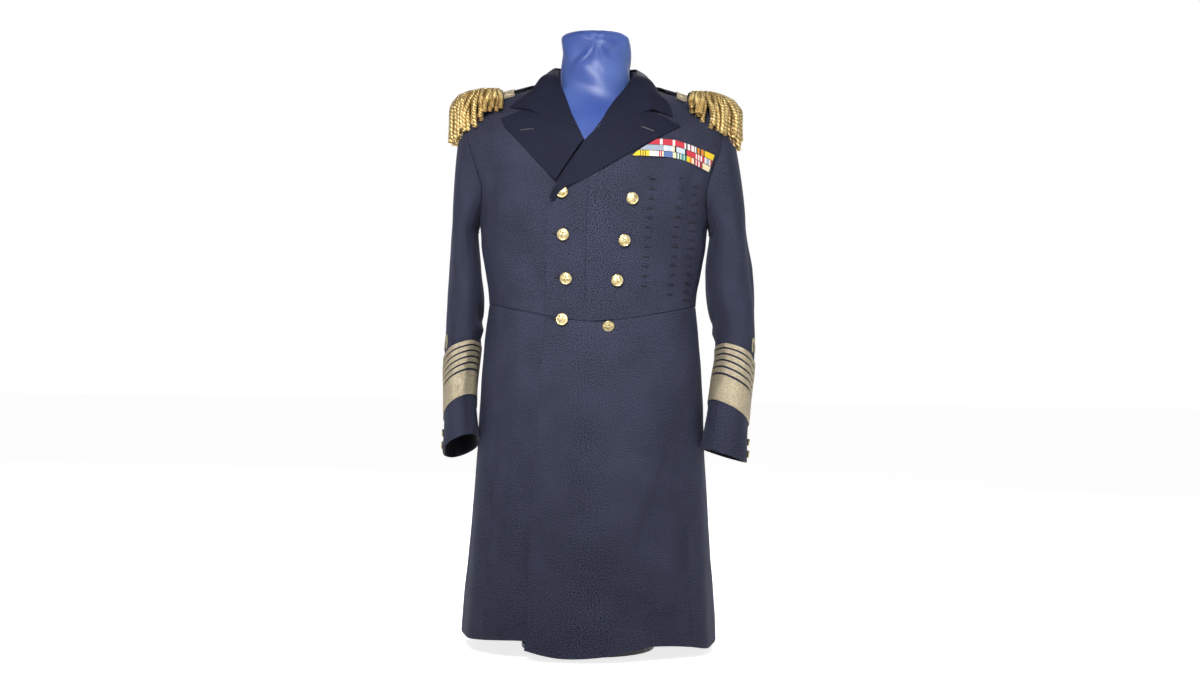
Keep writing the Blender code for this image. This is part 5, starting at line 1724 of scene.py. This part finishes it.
@dataclass
class Epaulette:
    """Strap, lace keeper, and a crescent of bullion with its fringe."""

    side: Side
    strap_start: float = 112.0
    strap_end: float = 169.0
    strap_half: float = 31.0
    keeper_half: float = 46.0
    centre: float = 196.0
    height: float = 1037.9
    reach_out: float = 58.0
    reach_side: float = 54.0
    turn: float = 105.0
    strands: int = 27
    # turn, reach, drop
    shape: tuple = ((0, 20, 105), (40, 31, 100), (60, 36, 93), (75, 38, 78), (90, 38, 57), (105, 36, 42))
    lumps: int = 21
    # inset from the rim, lift and radius of each of the crescent's ropes, and their coils
    ropes: tuple = ((15.0, 1.6, 4.4), (24.0, 1.8, 4.2), (32.0, 1.2, 3.8))
    rope_coils: int = 46
    # the pad inside the crescent: share out towards the rim and half its thickness there
    pad: tuple = ((0.0, 3.0), (0.3, 4.4), (0.75, 4.6), (1.0, 3.4))
    # x where the pad starts and half its width there
    pad_root: tuple[float, float] = (173.5, 26.0)
    # rest and height of the strap's and the keeper's arch, and how much shorter the strap is in front
    strap_arch: tuple[float, float] = (2.4, 4.4)
    keeper_arch: tuple[float, float] = (2.3, 6.8)
    strap_cut: float = 20.0
    # columns of the keeper
    keeper_x: tuple = (150, 156.3, 162.6, 169)
    # how much nearer and shorter the inner strands are, and how far below the rim each layer starts
    inner_near: float = 9.5
    inner_short: float = 3.0
    starts_low: tuple[float, float] = (-1.0, -5.5)
    starts_inset: tuple[float, float] = (17.0, 10.0)
    # a strand's half thickness between its coils, their height, and the knob at its end
    core: float = 3.4
    coil_height: float = 1.8
    knob_height: float = 0.8
    # where the crescent begins to fall away, and how fast
    fall_from: float = 200.0
    fall: float = 0.0036
    seeds: tuple[int, int] = (31, 37)

    def over(self, spot: Vector, lift: float = 0.0) -> Vector:
        """Point above the shoulder at x and y."""
        return SHAPE.place(SHAPE.spot_over(*spot), lift)

    def make_strap(self) -> None:
        """Makes the padded strap."""
        ys = [self.strap_half * (index / 6 - 1) for index in range(13)]
        starts = [self.strap_start + self.strap_cut * max(-y / self.strap_half, 0) for y in ys]
        rows = [
            [Vector((self.side.value * (start + (self.strap_end - start) * share), y)) for share in even(6)]
            for start, y in zip(starts, ys)
        ]

        def padded(spot: Vector, u: float, v: float) -> float:
            """The strap is thickest in the middle and rounds off at its sides."""
            rest, height = self.strap_arch
            return rest + height * max(math.sin(math.pi * v), 0.0) ** 0.4

        grid = facing(refine(refine(laid(rows, self.over, padded), 0, 3), 1, 4), UP)
        name = f"epaulette_strap_{self.side.label}"
        shell = Shell(f"{name}_felt", grid, STRAP_WOOL, 1.5, 0, 0.5, slot="strap_cloth")
        shell.sew(name)

    def make_keeper(self) -> None:
        """Makes the loop of lace that holds the strap down."""
        ys = [self.keeper_half * (index / 15 - 1) for index in range(31)]
        rows = [[Vector((self.side.value * x, y)) for x in self.keeper_x] for y in ys]

        def rise(spot: Vector, u: float, v: float) -> float:
            """The keeper lies on the coat and rises over the strap."""
            rest, height = self.keeper_arch
            return rest + height * ease((self.strap_half + 12 - abs(spot.y)) / 8)

        grid = facing(refine(refine(laid(rows, self.over, rise), 0, 2), 1, 3), UP)
        name = f"epaulette_loop_{self.side.label}"
        shell = Shell(f"{name}_lace", grid, LACE, 1.5, 0, 0.4, slot="gold_lace")
        shell.sew(name)

    def rim(self, turn: float, inset: float = 0.0) -> Vector:
        """Point of the crescent's rim at a turn in degrees from straight out."""
        around = math.radians(turn)
        x = self.centre + (self.reach_out - inset) * math.cos(around)
        return Vector((self.side.value * x, -(self.reach_side - inset) * math.sin(around), self.height))

    def strand(self, turn: float, inner: bool, source: np.random.Generator) -> bpy.types.Object:
        """One bullion strand: a cord of coiled wire that runs off the crescent, turns down and ends round."""
        around = math.radians(turn)
        out = Vector((self.side.value * math.cos(around), -math.sin(around), 0)).normalized()
        near, short = (self.inner_near, self.inner_short) if inner else (0.0, 0.0)
        reach = through(self.shape, abs(turn), 1) - near + source.uniform(-5.0, 0.5)
        drop = through(self.shape, abs(turn), 2) * source.uniform(0.8, 1.0) - short
        sway, bend, lag = source.uniform(-7.0, 7.0), source.uniform(-3.5, 3.5), source.uniform(-4.0, 1.0)
        beside = Vector((-out.y, out.x, 0))
        top = Vector((0, 0, self.starts_low[inner]))
        start, edge = self.rim(turn, self.starts_inset[inner]) + top, self.rim(turn) + top
        dip = self.dip(edge.x)
        start.z -= self.dip(start.x)
        corners = [
            start, edge + beside * bend * 0.4 + Vector((0, 0, -dip)),
            edge + out * reach * 0.5 + beside * bend + Vector((0, 0, -7 - dip)),
            edge + out * reach * 0.86 + beside * sway * 0.3 + Vector((0, 0, -8 - drop * 0.24)),
            edge + out * (reach * 0.96 + lag) + beside * (sway * 0.8 - bend) + Vector((0, 0, -drop * 0.62)),
            edge + out * (reach * 0.94) + beside * sway + Vector((0, 0, -drop + 3.5)),
        ]
        path = [spline(corners, share) for share in even(self.lumps * 4)]

        def coil(share: float, turn_round: float) -> float:
            """Two springs of wire, twisted: 1 on top of a coil and 0 between two coils."""
            return 0.5 + 0.5 * math.sin(2 * math.pi * share * self.lumps + 2 * turn_round)

        def coiled(share: float, turn_round: float) -> float:
            """Half thickness of the strand, with a knob at its end, where the wire turns back."""
            knob = math.exp(-(((share - 0.975) / 0.016) ** 2))
            cap = math.sqrt(max(1 - max((share - 0.982) / 0.018, 0.0) ** 2, 0.02))
            return (self.core + self.coil_height * coil(share, turn_round) + self.knob_height * knob) * cap

        # The coil values here become the bullion's painted highlight and painted shade.
        return ring_mesh("strand", tube(path, coiled, 10), tone=tones(coil, self.lumps * 4, 10))

    def dip(self, x: float) -> float:
        """How far the crescent falls away towards the sleeve."""
        return self.fall * max(abs(x) - self.fall_from, 0.0) ** 2

    def make_fringe(self) -> None:
        """Makes the crescent and the two layers of its fringe as one piece."""
        source = np.random.default_rng(self.seeds[self.side is Side.RIGHT])
        pieces = []
        for inner in (False, True):
            count = self.strands - (1 if inner else 0)
            for index in range(count):
                share = (index + (0.5 if inner else 0.0)) / (self.strands - 1)
                pieces.append(self.strand(self.turn * (2 * share - 1), inner, source))
        turns = [self.turn * (2 * share - 1) for share in even(184)]

        def twist(share: float, turn_round: float) -> float:
            """Twist of the crescent's ropes: 1 on top of a coil and 0 between two coils."""
            return 0.5 + 0.5 * math.sin(2 * math.pi * share * self.rope_coils + 2 * turn_round)

        for inset, lift, radius in self.ropes:
            path = [self.rim(turn, inset) + Vector((0, 0, lift)) for turn in turns]
            for point in path:
                point.z -= self.dip(point.x)
            rope = tube(path, lambda share, turn, radius=radius: radius - 0.9 + 1.4 * twist(share, turn), 10)
            # The twist values here become the ropes' painted highlight and painted shade.
            pieces.append(ring_mesh("rope", rope, tone=tones(twist, len(path) - 1, 10)))
        rings = []
        root_x, root_half = self.pad_root
        for turn in turns[::8]:
            rim = self.rim(turn, 4.0) + Vector((0, 0, -2.5))
            rim.z -= self.dip(rim.x)
            root = Vector((self.side.value * root_x, -root_half * turn / self.turn, self.height))
            above = [root.lerp(rim, share) + Vector((0, 0, half)) for share, half in self.pad]
            below = [root.lerp(rim, share) - Vector((0, 0, half)) for share, half in reversed(self.pad)]
            rings.append(above + below)
        # The pad has no coil values, so it takes the bullion's dark painted shade nearly all over.
        pieces.append(ring_mesh("pad", np.array(rings)))
        made = joined(pieces, f"epaulette_fringe_{self.side.label}_bullion")
        settle(made, BULLION, 60)
        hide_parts(f"epaulette_fringe_{self.side.label}")
        log.info("%s: %d faces", made.name, len(made.data.polygons))

    def make(self) -> None:
        """Makes the whole epaulette."""
        self.make_strap()
        self.make_keeper()
        self.make_fringe()


# Ribbon colours
RED, MAROON, ORANGE, YELLOW = "#b52a3a", "#86202c", "#c77a22", "#d8b81e"
WHITE, CREAM, BLACK, BROWN = "#d6d3d0", "#d9cba4", "#1b1a20", "#6d5418"
GREY, PALE_BLUE, SLATE, GREEN, TEAL = "#8f9aa8", "#b4bfca", "#4f679a", "#1f6a52", "#2f8377"


@dataclass
class RibbonRows:
    """Three rows of ribbons on the left chest, in made-up colours like those of generic service ribbons."""

    rows: tuple = (
        (
            "ribbons_1", ((96, 930), (150, 927.5), (215, 907.5)), ((113, 941), (152, 938.5), (218.5, 918)),
            (
                (RED, 118), (WHITE, 123), (RED, 141.5), (WHITE, 145.5), (RED, 163), (WHITE, 166),
                (BLACK, 169), (WHITE, 173.4), (MAROON, 175.6), (WHITE, 180.4), (MAROON, 182.2),
                (WHITE, 184.8), (BLACK, 187.5), (ORANGE, 191), (BLACK, 194.2), (ORANGE, 199), (BLACK, 201),
                (YELLOW, 220),
            ),
        ),
        (
            "ribbons_2", ((80, 919.5), (150, 916.8), (211.5, 897)), ((95.5, 929.5), (150, 927), (214.8, 907)),
            (
                (GREY, 125), (WHITE, 130), (PALE_BLUE, 139.5), (WHITE, 142.5), (CREAM, 145), (BLACK, 148.5),
                (PALE_BLUE, 163.5), (BLACK, 167.5), (RED, 184), (WHITE, 186), (RED, 188.4), (WHITE, 190.8),
                (RED, 193.2), (WHITE, 195.6), (RED, 200.6), (WHITE, 204.2), (GREY, 209.4), (WHITE, 212),
                (RED, 217),
            ),
        ),
        (
            "ribbons_3", ((68, 909), (150, 906), (208, 886.5)), ((79, 919), (150, 916.3), (211.2, 896.5)),
            (
                (YELLOW, 81.8), (BROWN, 83.4), (YELLOW, 86.4), (BROWN, 88), (YELLOW, 91), (BROWN, 92.6),
                (YELLOW, 99), (WHITE, 116), (RED, 118.2), (WHITE, 119.8), (RED, 122), (CREAM, 124.6),
                (SLATE, 142), (CREAM, 147.6), (GREEN, 150.4), (WHITE, 152.6), (GREEN, 155.4), (WHITE, 157.2),
                (TEAL, 161.8), (WHITE, 163.2), (GREEN, 167.4), (YELLOW, 172.4), (ORANGE, 176.4),
                (CREAM, 180.8), (MAROON, 184.2), (WHITE, 186), (RED, 189.2), (WHITE, 191.2),
                (MAROON, 197), (CREAM, 214),
            ),
        ),
    )
    columns: int = 84

    def make(self) -> None:
        """Makes each row as one sheet of silk."""
        for name, low, high, stripes in self.rows:
            bottom, top = SHAPE.line(low, self.columns), SHAPE.line(high, self.columns)
            spots = coons(bottom, top, straight(bottom[0], top[0], 6), straight(bottom[-1], top[-1], 6))
            grid = facing_out(laid(spots, SHAPE.place, flat(2.6)), SHAPE.place, spots)
            silk = RibbonSilk(f"{name}_silk", low[0][0], tuple(Stripe(*stripe) for stripe in stripes))
            shell = Shell(f"{name}_cloth", grid, silk, 1.8, 0.0, 0.0, slot="ribbon")
            piece = shell.sew(name)
            self.chart(piece, low[0][0], stripes[-1][1])

    def chart(self, piece: bpy.types.Object, start: float, end: float) -> None:
        """Gives the row a UV map: its share across the coat and its share up the row."""
        mesh = piece.data
        cloth = mesh.uv_layers["cloth"]
        layer = mesh.uv_layers.new(name="row")
        height = max(item.vector.y for item in cloth.uv)
        for loop in mesh.loops:
            x = mesh.vertices[loop.vertex_index].co.x / MM
            layer.uv[loop.index].vector = (x - start) / (end - start), cloth.uv[loop.index].vector.y / height


@dataclass
class Needlework:
    """Worked buttonholes and the small loops of thread on the left chest."""

    # x and height of both ends
    dark_holes: tuple = (((-74, 769), (-60, 766)), ((-69, 690), (-56, 688)), ((-76, 615), (-62, 613)))
    grey_holes: tuple = (((84, 962), (107, 954)),)
    under_holes: tuple = (((-134, 953), (-109, 955)),)
    # x at the top, top, x at the foot, foot, count
    loop_rows: tuple = ((105, 868, 93, 676, 12), (158, 872, 141, 662, 13), (187, 858, 171, 652, 14))
    loop_half: float = 5.5
    # half thickness and lift of the bars: dark holes, loops, and the lapels' holes with two lifts
    dark_bar: tuple = (1.5, 0.6)
    loop_bar: tuple = (1.1, 1.3)
    grey_bar: tuple = (0.8, (3.7, 4.6))

    def bar(self, start: Vector, end: Vector, thick: float, place: Place, lift: float) -> bpy.types.Object:
        """A short raised bar of thread between two spots on a surface."""
        path = [
            place(start.lerp(end, share), lift + thick * 0.7 * math.sin(math.pi * share)) for share in even(8)
        ]

        def swelling(share: float, turn: float) -> float:
            """Half thickness of the bar, which is widest at its middle."""
            return thick * (0.55 + 0.45 * math.sin(math.pi * share))

        return ring_mesh("bar", tube(path, swelling, 6))

    def over_folds(self, spot: Vector, lift: float = 0.0) -> Vector:
        """Point above the left front's folds."""
        point = SHAPE.place(spot)
        fold = crease_heights(np.array([point.x]), np.array([point.z]), CoatBody().front_creases(Side.LEFT))
        return SHAPE.place(spot, lift + float(fold[0]))

    def make(self) -> None:
        """Makes the buttonholes and the rows of loops."""
        pieces = []
        thick, lift = self.dark_bar
        for start, end in self.dark_holes:
            pieces.append(self.bar(SHAPE.spot_at(*start), SHAPE.spot_at(*end), thick, SHAPE.place, lift))
        thick, lift = self.loop_bar
        for x_top, top, x_foot, foot, count in self.loop_rows:
            for index in range(count):
                share = index / (count - 1)
                x, height = x_top + (x_foot - x_top) * share, top + (foot - top) * share
                ends = [SHAPE.spot_at(x + offset, height) for offset in (-self.loop_half, self.loop_half)]
                pieces.append(self.bar(*ends, thick, self.over_folds, lift))
        settle(joined(pieces, "thread_loops"), DARK_THREAD)
        pieces = []
        thick, lifts = self.grey_bar
        for (start, end), lift in zip(self.grey_holes + self.under_holes, lifts):
            pieces.append(self.bar(SHAPE.spot_at(*start), SHAPE.spot_at(*end), thick, SHAPE.place, lift))
        settle(joined(pieces, "lapel_buttonholes"), GREY_THREAD)


@dataclass
class DressForm:
    """Limbless form: a torso under a satin cover, which is gathered in soft folds round its neck."""

    levels: tuple = (
        (560, 184, 118, 92), (609, 180, 114, 84), (650, 178, 112, 80), (709, 186, 118, 86),
        (794, 198, 129, 100), (850, 204, 131, 104), (900, 206, 128, 104), (950, 206, 119, 98),
        (1000, 204, 108, 90), (1060, 196, 90, 76),
    )
    bottom: float = 560.0
    drop: float = 3.3
    neck_half: float = 64.7
    neck_depth: float = 52.0
    neck_y: float = -13.0
    neck_low: float = 1000.0
    neck_top: float = 1158.0
    # depth of the neck's rounded top, and how far the neck widens where it meets the torso
    neck_cap: float = 20.0
    neck_flare: float = 0.0055
    flare_top: float = 1058.0
    # where the satin is pinched in front: distance round the neck and height
    pinch: tuple[float, float] = (3, 1130)
    # folds beside the pinch: distance round the neck, height and depth
    pinch_folds: tuple = ((-36, 1104, -6.0), (-22, 1096, 4.0), (30, 1112, -3.0))
    # narrow slanting fold below the pinch: its heights, slant, half width and depth
    slit_heights: tuple[float, float] = (1073, 1134)
    slit_slant: float = 0.21
    slit_half: float = 1.3
    slit_depth: float = 1.2
    # side of the cells from which the cover is drawn, in metres
    cell: float = 0.003
    # heights between which the cover is eased where the neck meets the torso, in metres
    root: tuple[float, float] = (0.97, 1.045)

    def make_torso(self) -> bpy.types.Object:
        """Makes the torso, closed along its shoulders."""
        rings = []
        for row in range(37):
            climb = self.bottom + (SHAPE.ridge - self.bottom) * row / 36
            rings.append([
                SHAPE.point((360 * column / 72 - 180, climb), self.levels, self.drop) for column in range(72)
            ])
        made = ring_mesh("torso", np.array(rings))
        bpy.ops.object.mode_set(mode="EDIT")
        bpy.ops.mesh.select_all(action="SELECT")
        bpy.ops.mesh.remove_doubles(threshold=0.0001)
        bpy.ops.mesh.normals_make_consistent(inside=False)
        bpy.ops.object.mode_set(mode="OBJECT")
        return made

    def make_neck(self) -> bpy.types.Object:
        """Makes the neck, with the satin's folds running to a pinch in front."""
        rings = []
        rows, columns = 60, 144
        for row in range(rows + 1):
            share = row / rows
            cap_low = self.neck_top - self.neck_cap
            if share < 0.8:
                height, size = self.neck_low + (cap_low - self.neck_low) * share / 0.8, 1.0
            else:
                turn = (share - 0.8) / 0.2 * math.pi / 2
                height = cap_low + 0.9 * self.neck_cap * math.sin(turn)
                size = 1 - (1 - math.cos(turn)) ** 1.6 * 0.98 if turn < 1.55 else 0.02
            size *= 1 + 0.04 * (self.neck_top - height) / (self.neck_top - 985)
            flare = self.neck_flare * max(self.flare_top - height, 0.0) ** 2
            ring = []
            for column in range(columns):
                around = 2 * math.pi * column / columns
                x, y = math.sin(around), -math.cos(around)
                run = self.neck_half * ((around + math.pi) % (2 * math.pi) - math.pi)
                aside, above = run - self.pinch[0], height - self.pinch[1]
                away, lift = math.hypot(aside, above), 0.0
                if height < self.neck_top:
                    spread = math.atan2(above, aside)
                    lift = 3.0 * math.cos(6 * spread + 0.9) * ease(away / 16) * math.exp(-away / 60)
                    lift += 1.6 * math.cos((run * 0.7 + above) / 11 + around) * ease(away / 60)
                    for fold_run, fold_height, depth in self.pinch_folds:
                        slant = (run - fold_run) * 0.8 + (height - fold_height) * 0.6
                        beside = (height - fold_height) * 0.8 - (run - fold_run) * 0.6
                        lift += depth * math.exp(-((slant / 18) ** 2) - (beside / 6) ** 2)
                    lift -= 3.0 * math.exp(-((away / 6.0) ** 2)) + 1.2 * (size < 0.99)
                low, high = self.slit_heights
                slit = (run + 3 - (high - height) * self.slit_slant) / self.slit_half
                lift -= self.slit_depth * math.exp(-slit * slit) * (low < height < high)
                wide, deep = self.neck_half * size + flare - 1.2, self.neck_depth * size + flare - 1.2
                wide, deep = wide + lift * min(size, 1), deep + lift * min(size, 1)
                ring.append((x * wide, self.neck_y + y * deep, height))
            rings.append(ring)
        return ring_mesh("neck", np.array(rings, dtype=float))

    def cover(self, made: bpy.types.Object) -> None:
        """Draws one cover over torso and neck, and eases it into a soft curve where they meet."""
        bpy.ops.object.select_all(action="DESELECT")
        bpy.context.view_layer.objects.active = made
        made.select_set(True)
        drawn = made.modifiers.new("one_cover", "REMESH")
        drawn.mode, drawn.voxel_size = "VOXEL", self.cell
        bpy.ops.object.modifier_apply(modifier=drawn.name)
        root = made.vertex_groups.new(name="neck_root")
        low, high = self.root
        root.add([point.index for point in made.data.vertices if low < point.co.z < high], 1.0, "REPLACE")
        eased = made.modifiers.new("eased_root", "SMOOTH")
        eased.factor, eased.iterations, eased.vertex_group = 0.5, 60, root.name
        bpy.ops.object.modifier_apply(modifier=eased.name)

    def make(self) -> None:
        """Makes the covered form, and dresses the pole and the base."""
        made = joined([self.make_torso(), self.make_neck()], "satin_covered_form")
        self.cover(made)
        settle(made, BLUE_SATIN, 80)
        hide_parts("dress_form")
        for name in ("form_pole", "form_base"):
            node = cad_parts[name]
            node.data.materials.clear()
            node.data.materials.append(STEEL.make())
            log.info("%s dressed", name)


# Studio


class SoftLight(NamedTuple):
    """Soft square light: its place and the point it faces, in metres, its size, power and spread."""

    name: str
    place: tuple[float, float, float]
    aim: tuple[float, float, float]
    size: float
    power: float
    spread: float = 180.0


@dataclass
class Studio:
    """Pale floor, soft lights and the photograph's camera."""

    camera_at: tuple[float, float, float] = (15.1, -3145.0, 558.0)
    roll: float = 0.8
    lens: float = 50.0
    lights: tuple[SoftLight, ...] = (
        SoftLight("key", (-0.3, -2.3, 1.9), (0.02, 0, 0.64), 0.7, 3.6, 31),
        SoftLight("wash", (-0.8, -3.0, 2.6), (0, 0, 0.8), 1.6, 8),
        SoftLight("fill", (1.6, -2.6, 1.4), (0, 0, 0.7), 1.4, 5),
        SoftLight("back", (0.6, 2.6, 2.4), (0, 0, 0.8), 1.6, 70),
    )
    # the white surroundings, as they light the coat and as the camera sees them
    surroundings: tuple[float, float] = (0.2, 1.0)
    floor_size: float = 30.0
    floor_glow: float = 0.8

    def make_camera(self) -> None:
        """Sets the camera level in front of the coat, turned slightly about its axis."""
        data = bpy.data.cameras.new("camera")
        data.lens = self.lens
        camera = bpy.data.objects.new("camera", data)
        bpy.context.scene.collection.objects.link(camera)
        turn = Vector((0, 1, 0)).to_track_quat("-Z", "Y").to_matrix().to_4x4()
        roll = Matrix.Rotation(math.radians(self.roll), 4, "Z")
        camera.matrix_world = Matrix.Translation(Vector(self.camera_at) * MM) @ turn @ roll
        bpy.context.scene.camera = camera

    def make_floor(self) -> None:
        """Makes the floor."""
        bpy.ops.object.select_all(action="DESELECT")
        bpy.ops.mesh.primitive_plane_add(size=self.floor_size, location=(0, 0, -0.0005))
        floor = bpy.context.object
        floor.name = "floor"
        made = bpy.data.materials.new("pale_studio_floor")
        made.use_nodes = True
        place = add_node(made.node_tree, "ShaderNodeTexCoord").outputs["Object"]
        shade = add_node(made.node_tree, "ShaderNodeTexNoise", {"Vector": place, "Scale": 1.5})
        colour = ramp(made.node_tree, shade.outputs["Fac"], ((0.3, "#f1f1f2"), (0.7, "#f6f6f6")))
        surface(
            made.node_tree, Base_Color=colour, Roughness=0.9, Specular_IOR_Level=0.1,
            Emission_Color=linear("#ffffff"), Emission_Strength=self.floor_glow,
        )
        floor.data.materials.append(made)

    def make_light(self, wanted: SoftLight) -> None:
        """Adds one light."""
        data = bpy.data.lights.new(wanted.name, "AREA")
        data.size, data.energy, data.spread = wanted.size, wanted.power, math.radians(wanted.spread)
        light = bpy.data.objects.new(wanted.name, data)
        bpy.context.scene.collection.objects.link(light)
        light.location = wanted.place
        towards = Vector(wanted.aim) - Vector(wanted.place)
        light.rotation_euler = towards.to_track_quat("-Z", "Y").to_euler()

    def make_world(self) -> None:
        """Makes the white surroundings, which the camera sees brighter than they light the coat."""
        world = bpy.data.worlds.new("studio")
        bpy.context.scene.world = world
        world.use_nodes = True
        background = next(node for node in world.node_tree.nodes if node.type == "BACKGROUND")
        seen = add_node(world.node_tree, "ShaderNodeLightPath").outputs["Is Camera Ray"]
        dim, bright = self.surroundings
        strength = add_node(
            world.node_tree, "ShaderNodeMapRange", {"Value": seen, "To Min": dim, "To Max": bright}
        )
        background.inputs["Color"].default_value = (1, 1, 1, 1)
        world.node_tree.links.new(strength.outputs[0], background.inputs["Strength"])

    def make(self) -> None:
        """Sets up the whole studio."""
        self.make_camera()
        self.make_floor()
        self.make_world()
        bpy.context.scene.view_settings.view_transform = "Standard"
        for wanted in self.lights:
            self.make_light(wanted)


def main() -> None:
    """Dresses the frame, piece by piece."""
    logging.basicConfig(level=logging.INFO, format="%(message)s")
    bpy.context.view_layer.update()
    Studio().make()
    DressForm().make()
    CoatBody().make()
    Lapels().make()
    CollarPieces().make()
    sleeves = [
        Sleeve(Side.LEFT, LEFT_RINGS, slant=9.0, folds_of_own=LEFT_FOLDS),
        Sleeve(Side.RIGHT, RIGHT_RINGS, lean=0.4, folds_of_own=RIGHT_FOLDS),
    ]
    for sleeve in sleeves:
        sleeve.make()
    Buttons().make(sleeves)
    for side in Side:
        Epaulette(side).make()
    RibbonRows().make()
    Needlework().make()


if __name__ == "__main__":
    main()
